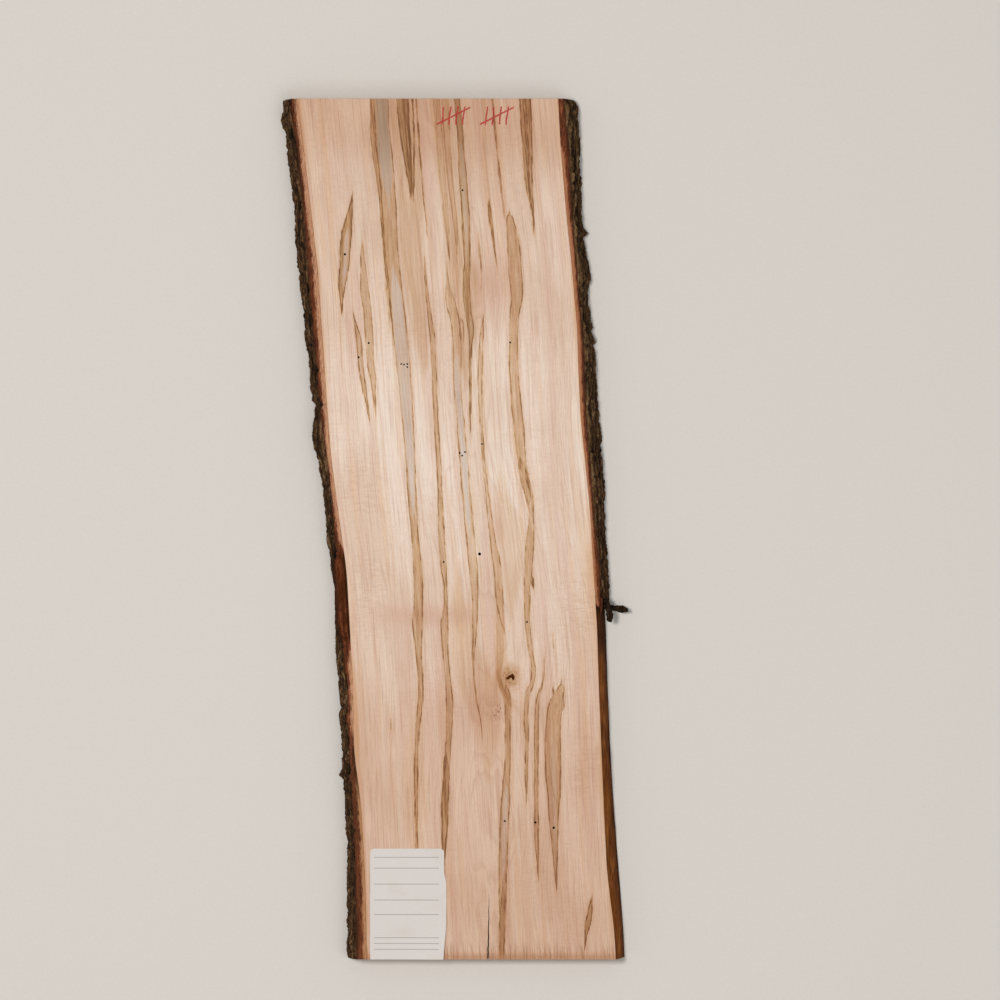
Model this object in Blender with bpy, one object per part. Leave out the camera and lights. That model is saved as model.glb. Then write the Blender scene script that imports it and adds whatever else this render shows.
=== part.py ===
"""A live-edge slab of ambrosia maple with its bark and a paper label, lying on its back.

X runs across the slab and Y along it, towards the head end. Z is up: the back face lies
at Z = 0 and the sawn show face looks up. The origin is the middle of the back face.
Sizes here are in millimetres and are turned into metres when a mesh is made.
"""
import bisect
import math

import bmesh
import bpy
from mathutils import Matrix, Vector, noise

MM = 0.001

# Driving dimensions of the slab
LENGTH = 1188.0
THICKNESS = 44.0
HEAD = LENGTH / 2
FOOT = -LENGTH / 2
STATIONS = 90               # cross-sections from the head end to the foot end
TOUCH_GAP = 0.3             # air between pieces that touch
LEFT, RIGHT = -1, 1

# Edges of the show face, as (place along, place across) from the head end to the foot end
LEFT_EDGE = [
    (594, -213.5), (523, -205), (440, -195), (357, -185.5), (275, -180), (192, -174.5),
    (109, -168.5), (26, -158), (-57, -146), (-139, -141.5), (-222, -137), (-305, -136),
    (-346, -130.5), (-388, -125.5), (-471, -121), (-553, -118.5), (-594, -118.5),
]
RIGHT_EDGE = [
    (594, 145.5), (523, 149.5), (440, 156.5), (357, 165), (275, 172), (233, 173),
    (150, 177), (68, 185.5), (26, 189.5), (-57, 194.5), (-139, 199.5), (-222, 202),
    (-305, 205.5), (-388, 209), (-471, 213), (-512, 218), (-553, 223), (-594, 225.5),
]
# How much further out each edge lies on the back face than on the show face
LEFT_FLARE = [(594, 12), (-594, 12)]
RIGHT_FLARE = [(594, 12.5), (-305, 13), (-388, 14.5), (-471, 17), (-553, 13.5), (-594, 13)]
EDGE_BULGE = 1.6            # the live edges are slightly round
WOOD_LEVELS = [0.0, 11.0, 22.0, 33.0, THICKNESS]

# Outermost line of the bark, as (place along, place across)
LEFT_BARK = [
    (594, -235.5), (580, -236), (566, -239.5), (552, -234.5), (523, -230), (482, -226.5),
    (440, -221), (399, -219), (357, -214.5), (316, -211), (275, -206.5), (254, -204.5),
    (244, -201.5), (192, -198.5), (178, -196), (171, -190.5), (164, -193), (150, -194),
    (130, -197), (116, -194), (102, -192), (91, -187), (68, -183.5), (40, -179.5),
    (12, -176.5), (-15, -176), (-36, -171.5), (-57, -170), (-84, -165), (-139, -164),
    (-181, -163.5), (-222, -158), (-250, -157), (-259, -159), (-277, -156), (-333, -153.5),
    (-341, -158), (-348, -153), (-374, -151), (-395, -151), (-429, -147.5), (-594, -147.5),
]
RIGHT_BARK = [
    (594, 169), (588, 173), (581, 175), (523, 177.5), (482, 179), (440, 180), (419, 182.5),
    (410, 188), (403, 182.5), (385, 186.5), (357, 191), (346, 192.5), (337, 188.5),
    (316, 189.5), (288, 193), (280, 195.5), (274, 194), (260, 199), (254, 195), (247, 198.5),
    (219, 200.5), (205, 200), (178, 202.5), (150, 203.5), (137, 206), (109, 207.5), (68, 211),
    (26, 212), (-15, 213.5), (-57, 216.5), (-84, 218.5), (-98, 218.5), (-112, 214.5),
]
BARK_LEVELS = [0.0, 6.0, 13.0, 20.0, 27.0, 34.0, 40.0, THICKNESS]
FURROW_DEPTH = 2.2
PLATE_LENGTH = 38.0         # along the slab, from one bark plate to the next
PLATE_WIDTH = 9.0
LEAST_BARK = 2.0

# A crevice in the sawn face of the bark, between its inner and its outer layer
INNER_BARK = 0.45           # share of the bark's width that is inner bark
CREVICE_WIDTH = 2.4
LEFT_CREVICE = [(594, 8), (530, 6), (470, 1.2), (-594, 1.2)]
RIGHT_CREVICE = [(594, 1.2), (-594, 1.2)]

# Where the outer bark has flaked off the left edge, its front stands lower and smooth
FLAKE_HEAD = -30.0
FLAKE_FOOT = -156.0
FLAKE_DROP = 9.0
FLAKE_FADE = 14.0

# Where the right bark is torn off
TEAR = -106.0
# Splinters at the tear: outline in X and Y, then lowest and highest level
SPLINTERS = [
    ([(211.5, -96), (214.5, -106.5), (236.5, -106), (240, -110), (244.5, -114.5), (237, -116.5),
      (216, -113.5), (211, -106)], 9, 23),
    ([(207, -94), (209.5, -97), (217.5, -108), (222, -120), (222, -129), (217, -127),
      (212.4, -118), (207, -108)], 25, 35),
    ([(203.5, -95), (207, -95), (206.5, -112), (203.6, -121)], 37, 43),
    ([(212.5, -92), (216, -92), (215.5, -119)], 2, 8),
]

# Worm holes in the show face: place across, place along, diameter
WORM_HOLES = [
    (-148.4, 379.1, 2.6), (-115.6, 256.7, 2.4), (-129.4, 236.9, 2.4), (-70.8, 227.7, 2.0),
    (-66.8, 226.9, 2.0), (-62.4, 227.7, 2.0), (-62.4, 223.6, 2.0), (9.9, 104.9, 2.2),
    (13.4, 101.4, 2.2), (17.3, 106.3, 2.2), (40.7, 117.3, 2.0), (13.8, 467.5, 2.2),
    (79.6, 257.5, 2.2), (-12.1, -45.4, 2.2), (37.4, -34.5, 3.4), (102.8, -128.3, 2.2),
    (114.4, -404.9, 2.6), (139.7, -412.3, 2.8), (72.2, -403.0, 2.4),
]
WORM_DEPTH = 12.0
WORM_SIDES = 8

# The pit at the middle of the knot
KNOT_PLACE = (79.4, -204.2)
KNOT_RADII = (4.8, 4.1, 6.0)

# The drying crack, a wedge that opens towards the foot end
CRACK_TIP = (50.5, -501.0)
CRACK_MOUTH = (49.0, FOOT - 1.0)
CRACK_WIDTH = 2.2
CRACK_DEPTH = 24.0

# The paper label, flush with the foot end. Its right edge bows out a little, listed as
# height over the foot end and distance across
TAG_LEFT = -113.6
TAG_WIDTH = 102.0
TAG_HEIGHT = 153.0
TAG_THICKNESS = 0.5
TAG_CORNER = 4.5
TAG_EDGE = [(153, 0), (117, 0), (109, 3), (48, 3), (0, -1)]
TAG_LIFT = 4.0              # its lower right corner stands off the wood
TAG_COLUMNS = 8
TAG_ROWS = 10


def material(name, colour, roughness):
    """A plain surface of one colour."""
    made = bpy.data.materials.new(name)
    made.use_nodes = True
    shader = made.node_tree.nodes["Principled BSDF"]
    shader.inputs["Base Color"].default_value = (*colour, 1.0)
    shader.inputs["Roughness"].default_value = roughness
    shader.inputs["Metallic"].default_value = 0.0
    return made


def straight(points, along):
    """The listed value at a place along the slab, on straight runs between the points."""
    places = [-place for place, value in points]
    after = min(max(bisect.bisect_left(places, -along), 1), len(points) - 1)
    (here, value), (there, next_value) = points[after - 1], points[after]
    share = min(max((here - along) / (here - there), 0.0), 1.0)
    return value + share * (next_value - value)


def smooth(points, along, reach=16.0):
    """The same with its corners rounded, as the mean over a short stretch."""
    steps = [-1.0, -0.5, 0.0, 0.5, 1.0]
    ends = (points[-1][0], points[0][0])
    places = [min(max(along + step * reach, ends[0]), ends[1]) for step in steps]
    return sum(straight(points, place) for place in places) / len(steps)


def wood_edge(side, along, level):
    """Place across of the wood's live edge."""
    edge, flare = (LEFT_EDGE, LEFT_FLARE) if side == LEFT else (RIGHT_EDGE, RIGHT_FLARE)
    depth = 1.0 - level / THICKNESS
    bulge = EDGE_BULGE * 4.0 * depth * (1.0 - depth)
    return smooth(edge, along) + side * (smooth(flare, along) * depth + bulge)


def flaked(side, along):
    """One where the outer bark has flaked off the left edge, zero elsewhere."""
    if side == RIGHT:
        return 0.0
    inside = min(FLAKE_HEAD - along, along - FLAKE_FOOT)
    return min(max(inside / FLAKE_FADE, 0.0), 1.0)


def furrow(side, along, level):
    """How far the bark's plates stand out, or its furrows lie in."""
    seed = 10.0 * side
    plate = noise.noise(Vector((along / PLATE_LENGTH, level / PLATE_WIDTH, seed)))
    chip = noise.noise(Vector((along / 11.0, level / 6.0, seed + 4.0)))
    return FURROW_DEPTH * (plate + 0.5 * chip) * (1.0 - 0.8 * flaked(side, along))


def bark_outside(side, along, level):
    """Place across of the bark's rough outer surface."""
    widest = straight(LEFT_BARK if side == LEFT else RIGHT_BARK, along)
    thick = abs(widest - wood_edge(side, along, 0.0))
    thick = max(thick + furrow(side, along, level), LEAST_BARK)
    return wood_edge(side, along, level) + side * thick


def bark_ring(side, along):
    """One cross-section of a bark strip."""
    front = THICKNESS - FLAKE_DROP * flaked(side, along)
    inner_levels = WOOD_LEVELS[:-1] + [front]
    outer_levels = BARK_LEVELS[:-2] + [front - 3.5, front]
    across = [wood_edge(side, along, level) + side * TOUCH_GAP for level in inner_levels]
    ring = [Vector((x, along, level)) for x, level in zip(across, inner_levels)]
    inner = across[-1]
    centre = inner + INNER_BARK * (bark_outside(side, along, front) - inner)
    depth = straight(LEFT_CREVICE if side == LEFT else RIGHT_CREVICE, along)
    for step, drop in ((-0.5, 0.0), (0.1, depth), (0.5, 0.0)):
        ring.append(Vector((centre + side * step * CREVICE_WIDTH, along, front - drop)))
    for level in reversed(outer_levels):
        ring.append(Vector((bark_outside(side, along, level), along, level)))
    return ring


def wood_ring(along):
    """One cross-section of the wood."""
    left = [Vector((wood_edge(LEFT, along, level), along, level)) for level in WOOD_LEVELS]
    right = [Vector((wood_edge(RIGHT, along, level), along, level)) for level in WOOD_LEVELS]
    return left + right[::-1]


def loft(rings):
    """A closed mesh through cross-sections that all have the same number of points."""
    mesh = bmesh.new()
    loops = [[mesh.verts.new(point) for point in ring] for ring in rings]
    count = len(loops[0])
    for here, there in zip(loops, loops[1:]):
        for k in range(count):
            m = (k + 1) % count
            mesh.faces.new((here[k], here[m], there[m], there[k]))
    mesh.faces.new(loops[0])
    mesh.faces.new(loops[-1])
    bmesh.ops.recalc_face_normals(mesh, faces=mesh.faces)
    return mesh


def join_flats(mesh, level):
    """Make one face of all the faces that lie flat at a level."""
    flat = [face for face in mesh.faces
            if all(abs(vert.co.z - level) < 1e-4 for vert in face.verts)]
    bmesh.ops.dissolve_faces(mesh, faces=flat)


def to_object(name, mesh, surface):
    """An object in the scene from a mesh in millimetres."""
    mesh.transform(Matrix.Scale(MM, 4))
    data = bpy.data.meshes.new(name)
    mesh.to_mesh(data)
    mesh.free()
    data.materials.append(surface)
    made = bpy.data.objects.new(name, data)
    bpy.context.scene.collection.objects.link(made)
    return made


def guide(name, mesh, surface):
    """A body that only cuts or joins another one."""
    made = to_object(name, mesh, surface)
    made.hide_render = True
    made.display_type = "WIRE"
    return made


def boolean(target, other, operation):
    step = target.modifiers.new(other.name, "BOOLEAN")
    step.operation = operation
    step.solver = "EXACT"
    step.object = other


def prism(outline, low, high):
    """An upright body with the given outline in X and Y."""
    mesh = bmesh.new()
    base = mesh.faces.new([mesh.verts.new((x, y, low)) for x, y in outline])
    grown = bmesh.ops.extrude_face_region(mesh, geom=[base])
    raised = [item for item in grown["geom"] if isinstance(item, bmesh.types.BMVert)]
    bmesh.ops.translate(mesh, verts=raised, vec=(0, 0, high - low))
    bmesh.ops.recalc_face_normals(mesh, faces=mesh.faces)
    return mesh


def worm_hole(x, y, diameter):
    """Outline of one round hole."""
    turns = [math.tau * k / WORM_SIDES for k in range(WORM_SIDES)]
    return [(x + diameter / 2 * math.cos(turn), y + diameter / 2 * math.sin(turn)) for turn in turns]


def crack_outline():
    half = CRACK_WIDTH / 2
    return [(CRACK_MOUTH[0] - half, CRACK_MOUTH[1]), (CRACK_MOUTH[0] + half, CRACK_MOUTH[1]), CRACK_TIP]


def make_wood(surface):
    mesh = loft([wood_ring(along) for along in stations(FOOT)])
    join_flats(mesh, 0.0)
    join_flats(mesh, THICKNESS)
    wood = to_object("wood", mesh, surface)

    above = THICKNESS + 2.0
    for number, hole in enumerate(WORM_HOLES):
        cutter = prism(worm_hole(*hole), THICKNESS - WORM_DEPTH, above)
        boolean(wood, guide(f"worm_hole_{number:02d}", cutter, surface), "DIFFERENCE")
    crack = prism(crack_outline(), THICKNESS - CRACK_DEPTH, above)
    boolean(wood, guide("drying_crack", crack, surface), "DIFFERENCE")

    pit = bmesh.new()
    bmesh.ops.create_uvsphere(pit, u_segments=10, v_segments=6, radius=1.0)
    bmesh.ops.scale(pit, verts=pit.verts, vec=KNOT_RADII)
    bmesh.ops.translate(pit, verts=pit.verts, vec=(*KNOT_PLACE, THICKNESS))
    boolean(wood, guide("knot_pit", pit, surface), "DIFFERENCE")
    return wood


def stations(end):
    """Places along the slab from the head end, evenly spaced."""
    count = round(STATIONS * (HEAD - end) / LENGTH)
    return [HEAD + (end - HEAD) * k / count for k in range(count + 1)]


def make_bark_left(surface):
    rings = [bark_ring(LEFT, along) for along in stations(FOOT)]
    return to_object("bark_left", loft(rings), surface)


def make_bark_right(surface):
    rings = [bark_ring(RIGHT, along) for along in stations(TEAR)]
    bark = to_object("bark_right", loft(rings), surface)
    for number, (outline, low, high) in enumerate(SPLINTERS):
        splinter = guide(f"splinter_{number}", prism(outline, low, high), surface)
        boolean(bark, splinter, "UNION")
    return bark


def tag_point(column, row, above):
    """A point of the label, which has round upper corners and one corner that lifts."""
    down = TAG_HEIGHT * row / TAG_ROWS
    if row == 1:
        down = TAG_CORNER
    short = max(TAG_CORNER - down, 0.0)
    inset = TAG_CORNER - math.sqrt(TAG_CORNER ** 2 - short ** 2)
    width = TAG_WIDTH + smooth(TAG_EDGE, TAG_HEIGHT - down, 6.0) - 2 * inset
    across = inset + width * column / TAG_COLUMNS
    to_corner = max(across / TAG_WIDTH + down / TAG_HEIGHT - 1.25, 0.0) / 0.75
    lift = TAG_LIFT * to_corner ** 2
    level = THICKNESS + TOUCH_GAP + lift + (TAG_THICKNESS if above else 0.0)
    return Vector((TAG_LEFT + across, FOOT + TAG_HEIGHT - down, level))


def make_tag(surface):
    columns = range(TAG_COLUMNS + 1)
    rows = range(TAG_ROWS + 1)
    rings = []
    for row in rows:
        upper = [tag_point(column, row, True) for column in columns]
        lower = [tag_point(column, row, False) for column in reversed(columns)]
        rings.append(upper + lower)
    return to_object("paper_tag", loft(rings), surface)


def main():
    for old in list(bpy.data.objects):
        bpy.data.objects.remove(old)
    make_wood(material("maple", (0.70, 0.52, 0.38), 0.62))
    bark = material("bark", (0.06, 0.04, 0.025), 0.85)
    make_bark_left(bark)
    make_bark_right(bark)
    make_tag(material("paper", (0.70, 0.66, 0.60), 0.7))


main()
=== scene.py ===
"""Looks of a live-edge slab of ambrosia maple that lies on its back, seen from above.

X runs across the slab, Y along it towards the head end and Z up. Sizes and places are in
millimetres and are turned into metres when a mesh is made. The stains of the wood were
placed on a picture of the slab, so their lists count its pixels, and PIXEL and PICTURE_ZERO
turn them into places on the show face.
"""
import bisect
import math

import bmesh
import bpy
from mathutils import Matrix, Vector, noise


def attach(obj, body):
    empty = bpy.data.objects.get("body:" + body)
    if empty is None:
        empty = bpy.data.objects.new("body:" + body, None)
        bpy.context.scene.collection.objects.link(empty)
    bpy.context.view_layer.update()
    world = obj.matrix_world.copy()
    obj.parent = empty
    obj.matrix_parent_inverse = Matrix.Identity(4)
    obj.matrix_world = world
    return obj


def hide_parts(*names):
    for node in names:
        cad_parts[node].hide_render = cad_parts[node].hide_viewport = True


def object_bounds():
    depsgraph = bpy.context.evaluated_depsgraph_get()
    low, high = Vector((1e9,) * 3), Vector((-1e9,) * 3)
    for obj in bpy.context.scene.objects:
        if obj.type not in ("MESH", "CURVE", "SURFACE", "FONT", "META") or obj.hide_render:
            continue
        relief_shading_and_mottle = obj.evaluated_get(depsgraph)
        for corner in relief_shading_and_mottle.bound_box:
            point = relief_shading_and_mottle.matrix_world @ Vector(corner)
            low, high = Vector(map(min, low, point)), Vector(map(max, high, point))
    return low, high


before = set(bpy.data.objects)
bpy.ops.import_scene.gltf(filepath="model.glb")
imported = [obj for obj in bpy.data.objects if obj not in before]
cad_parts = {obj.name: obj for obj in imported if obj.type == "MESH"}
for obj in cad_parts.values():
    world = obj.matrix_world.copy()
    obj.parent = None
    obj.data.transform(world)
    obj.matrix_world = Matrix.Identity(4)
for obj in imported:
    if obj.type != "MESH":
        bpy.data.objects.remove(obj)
cad_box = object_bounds()

MM = 0.001

# Driving dimensions, the same as the solids'
LENGTH = 1188.0
THICKNESS = 44.0
HEAD = LENGTH / 2
FOOT = -LENGTH / 2
TOUCH_GAP = 0.1             # between pieces that touch
LEFT, RIGHT = -1, 1

# Edges of the show face, as (place along, place across) from the head end to the foot end
LEFT_EDGE = [
    (594, -213.5), (523, -205), (440, -195), (357, -185.5), (275, -180), (192, -174.5),
    (109, -168.5), (26, -158), (-57, -146), (-139, -141.5), (-222, -137), (-305, -136),
    (-346, -130.5), (-388, -125.5), (-471, -121), (-553, -118.5), (-594, -118.5),
]
RIGHT_EDGE = [
    (594, 145.5), (523, 149.5), (440, 156.5), (357, 165), (275, 172), (233, 173),
    (150, 177), (68, 185.5), (26, 189.5), (-57, 194.5), (-139, 199.5), (-222, 202),
    (-305, 205.5), (-388, 209), (-471, 213), (-512, 218), (-553, 223), (-594, 225.5),
]
# How much further out the edges lie on the back face, and how far they bulge halfway up
LEFT_FLARE = [(594, 12), (-594, 12)]
RIGHT_FLARE = [(594, 12.5), (-305, 13), (-388, 14.5), (-471, 17), (-553, 13.5), (-594, 13)]
EDGE_BULGE = 1.6

# Outermost line of the bark, as (place along, place across)
LEFT_BARK = [
    (594, -235.5), (580, -236), (566, -239.5), (552, -234.5), (523, -230), (482, -226.5),
    (440, -221), (399, -219), (357, -214.5), (316, -211), (275, -206.5), (254, -204.5),
    (244, -201.5), (192, -198.5), (178, -196), (171, -190.5), (164, -193), (150, -194),
    (130, -197), (116, -194), (102, -192), (91, -187), (68, -183.5), (40, -179.5),
    (12, -176.5), (-15, -176), (-36, -171.5), (-57, -170), (-84, -165), (-139, -164),
    (-181, -163.5), (-222, -158), (-250, -157), (-259, -159), (-277, -156), (-333, -153.5),
    (-341, -158), (-348, -153), (-374, -151), (-395, -151), (-429, -147.5), (-594, -147.5),
]
RIGHT_BARK = [
    (594, 169), (588, 173), (581, 175), (523, 177.5), (482, 179), (440, 180), (419, 182.5),
    (410, 188), (403, 182.5), (385, 186.5), (357, 191), (346, 192.5), (337, 188.5),
    (316, 189.5), (288, 193), (280, 195.5), (274, 194), (260, 199), (254, 195), (247, 198.5),
    (219, 200.5), (205, 200), (178, 202.5), (150, 203.5), (137, 206), (109, 207.5), (68, 211),
    (26, 212), (-15, 213.5), (-57, 216.5), (-84, 218.5), (-98, 218.5), (-112, 214.5),
]
LEAST_BARK = 2.0            # its least thickness

# Depth of the crevice in the bark's front, and its place as a share of the bark's thickness
LEFT_CREVICE = [(594, 8), (530, 6), (470, 2), (-594, 1.6)]
RIGHT_CREVICE = [(594, 2), (-594, 2)]
CREVICE_PLACE = 0.45

# Where the outer bark has flaked off the left edge, how much lower the front is there, and
# how gradual and how ragged the border is
FLAKE_HEAD = -30.0
FLAKE_FOOT = -156.0
FLAKE_DROP = 9.0
FLAKE_FADE = 14.0
FLAKE_RAGGED = 34.0

# Width of the inner bark beside the wood, and of its pale band, seen on the show face
LEFT_INNER = [
    (594, 12.5), (523, 9.5), (454, 10), (385, 13), (316, 14.5), (247, 12.5), (178, 11.5),
    (109, 7), (40, 7), (-29, 12), (-60, 21), (-130, 21), (-167, 11), (-260, 11), (-305, 14),
    (-374, 14), (-443, 14), (-512, 15), (-594, 14),
]
RIGHT_INNER = [
    (594, 8), (523, 11), (440, 8), (357, 7), (288, 7), (233, 8.5), (68, 6), (12, 5),
    (-57, 9.5), (-112, 6),
]
LEFT_PALE = [(594, 4.5), (440, 6), (178, 6), (109, 5), (-20, 5), (-36, 0), (-160, 0), (-180, 4.5),
             (-270, 4), (-290, 0), (-335, 0), (-360, 3.5), (-450, 4.5), (-594, 4.5)]
RIGHT_PALE = [(594, 0), (530, 0), (515, 4), (357, 4.5), (68, 3), (-112, 3)]

# The lines of each side: the wood's edge and how far it flares, the outermost line of the
# bark, the depth of its crevice, and the widths of its inner bark and of its pale band
LINES = {LEFT: (LEFT_EDGE, LEFT_FLARE, LEFT_BARK, LEFT_CREVICE, LEFT_INNER, LEFT_PALE),
         RIGHT: (RIGHT_EDGE, RIGHT_FLARE, RIGHT_BARK, RIGHT_CREVICE, RIGHT_INNER, RIGHT_PALE)}

# Levels of the wood's cross-sections over the back face, and their steps along the slab
WOOD_LEVELS = [0.0, 1.0, 2.5, 5.0, 8.0, 11.0, 14.0, 17.0, 20.0, 23.0, 26.0, 29.0, 32.0, 35.0,
               38.0, 40.5, 42.0, 43.0, THICKNESS]
WOOD_STEPS = 396

# Steps of the bark's meshes
BARK_STEP = 1.2
INNER_LEVELS = [0.0, 0.25, 0.5, 0.75, 0.95]
TOP_STEPS = 14
OUTER_STEPS = 46
UNDER_STEPS = 5

# Relief of the bark. Each size of its scales has a length, a width, a share and a shift.
SCALES = [(30.0, 7.5, 0.6, 0.0), (9.0, 3.2, 0.4, 11.0)]
# Long furrows that run with the trunk: length, width and share
SEAMS = (110.0, 14.0, 1.1)
FURROW_DEPTH = 2.4
SCALE_LIFT = 2.1
CHIP_DEPTH = 0.9

# Where the right bark is torn off, and how ragged the torn end is
TEAR = -106.0
TEAR_REACH = 45.0
TEAR_RAGGED = 9.0
# Splinters at the tear: (across, along, level, width, height) from root to tip
SPLINTERS = [
    [(208, -101, 16, 9, 11), (214, -107, 16, 8, 11), (220, -109.6, 16, 6.5, 10),
     (228, -110.3, 16.5, 7.5, 9), (235, -111, 17, 9.6, 7), (240, -112.5, 18, 6.5, 4.5),
     (243.2, -114, 18.5, 1.6, 1.6)],
    [(209, -97, 30, 8, 9), (213.5, -105, 30, 9, 9), (216.5, -113, 30, 8, 8),
     (217, -120, 30, 9, 7), (217.5, -125.5, 30, 8, 5), (219.6, -128.8, 30, 2, 2)],
    [(205.2, -95, 40, 3.5, 5), (205.4, -106, 40, 3, 5), (205, -114, 40, 2.2, 4),
     (204, -120.5, 40, 0.7, 1)],
    [(214, -92, 5, 3.6, 5), (214.6, -105, 5, 2.6, 4.5), (215.3, -118.5, 5, 0.6, 1)],
]
SPLINTER_LAYERS = [1.3, 1.3, 0.8, 1.3]      # from the wood, 0, to the outer bark, 1 and over
SPLINTER_SIDES = 18
SPLINTER_STEP = 0.9

# Worm holes in the show face: place across, place along, diameter
WORM_HOLES = [
    (-148.4, 379.1, 2.6), (-115.6, 256.7, 2.4), (-129.4, 236.9, 2.4), (-70.8, 227.7, 2.0),
    (-66.8, 226.9, 2.0), (-62.4, 227.7, 2.0), (-62.4, 223.6, 2.0), (9.9, 104.9, 2.2),
    (13.4, 101.4, 2.2), (17.3, 106.3, 2.2), (40.7, 117.3, 2.0), (13.8, 467.5, 2.2),
    (79.6, 257.5, 2.2), (-12.1, -45.4, 2.2), (37.4, -34.5, 3.4), (102.8, -128.3, 2.2),
    (114.4, -404.9, 2.6), (139.7, -412.3, 2.8), (72.2, -403.0, 2.4),
]
WORM_DEPTH = 12.0
WORM_SIDES = 14
# The knot's place across and along
KNOT_PLACE = (79.4, -204.2)
# Its pit is two dents: centre from the knot's place, half-sizes, and turn in degrees
KNOT_DENTS = [((-0.2, 0.3), (5.8, 2.1, 3.8), 38.0), ((4.1, 0.0), (2.3, 4.4, 4.6), 6.0)]

# The drying crack: tip, mouth, greatest width and depth
CRACK_TIP = (50.5, -501.0)
CRACK_MOUTH = (49.0, FOOT - 1.0)
CRACK_WIDTH = 2.2
CRACK_DEPTH = 24.0
CRACK_STEPS = 18

# The paper label
TAG_LEFT = -113.6
TAG_WIDTH = 102.0
TAG_HEIGHT = 153.0
TAG_THICKNESS = 0.5
TAG_CORNER = 4.5
# How far its right edge stands out, as (place over the foot end, distance)
TAG_EDGE = [(153, 0), (117, 0), (109, 3), (48, 3), (0, -1)]
TAG_LIFT = 4.0
TAG_COLUMNS = 34
TAG_ROWS = 51

# The picture on which the stains were placed: size of a pixel, and the pixel over the origin
PIXEL = 1.38
PICTURE_ZERO = (452.5, 529.0)

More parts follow.
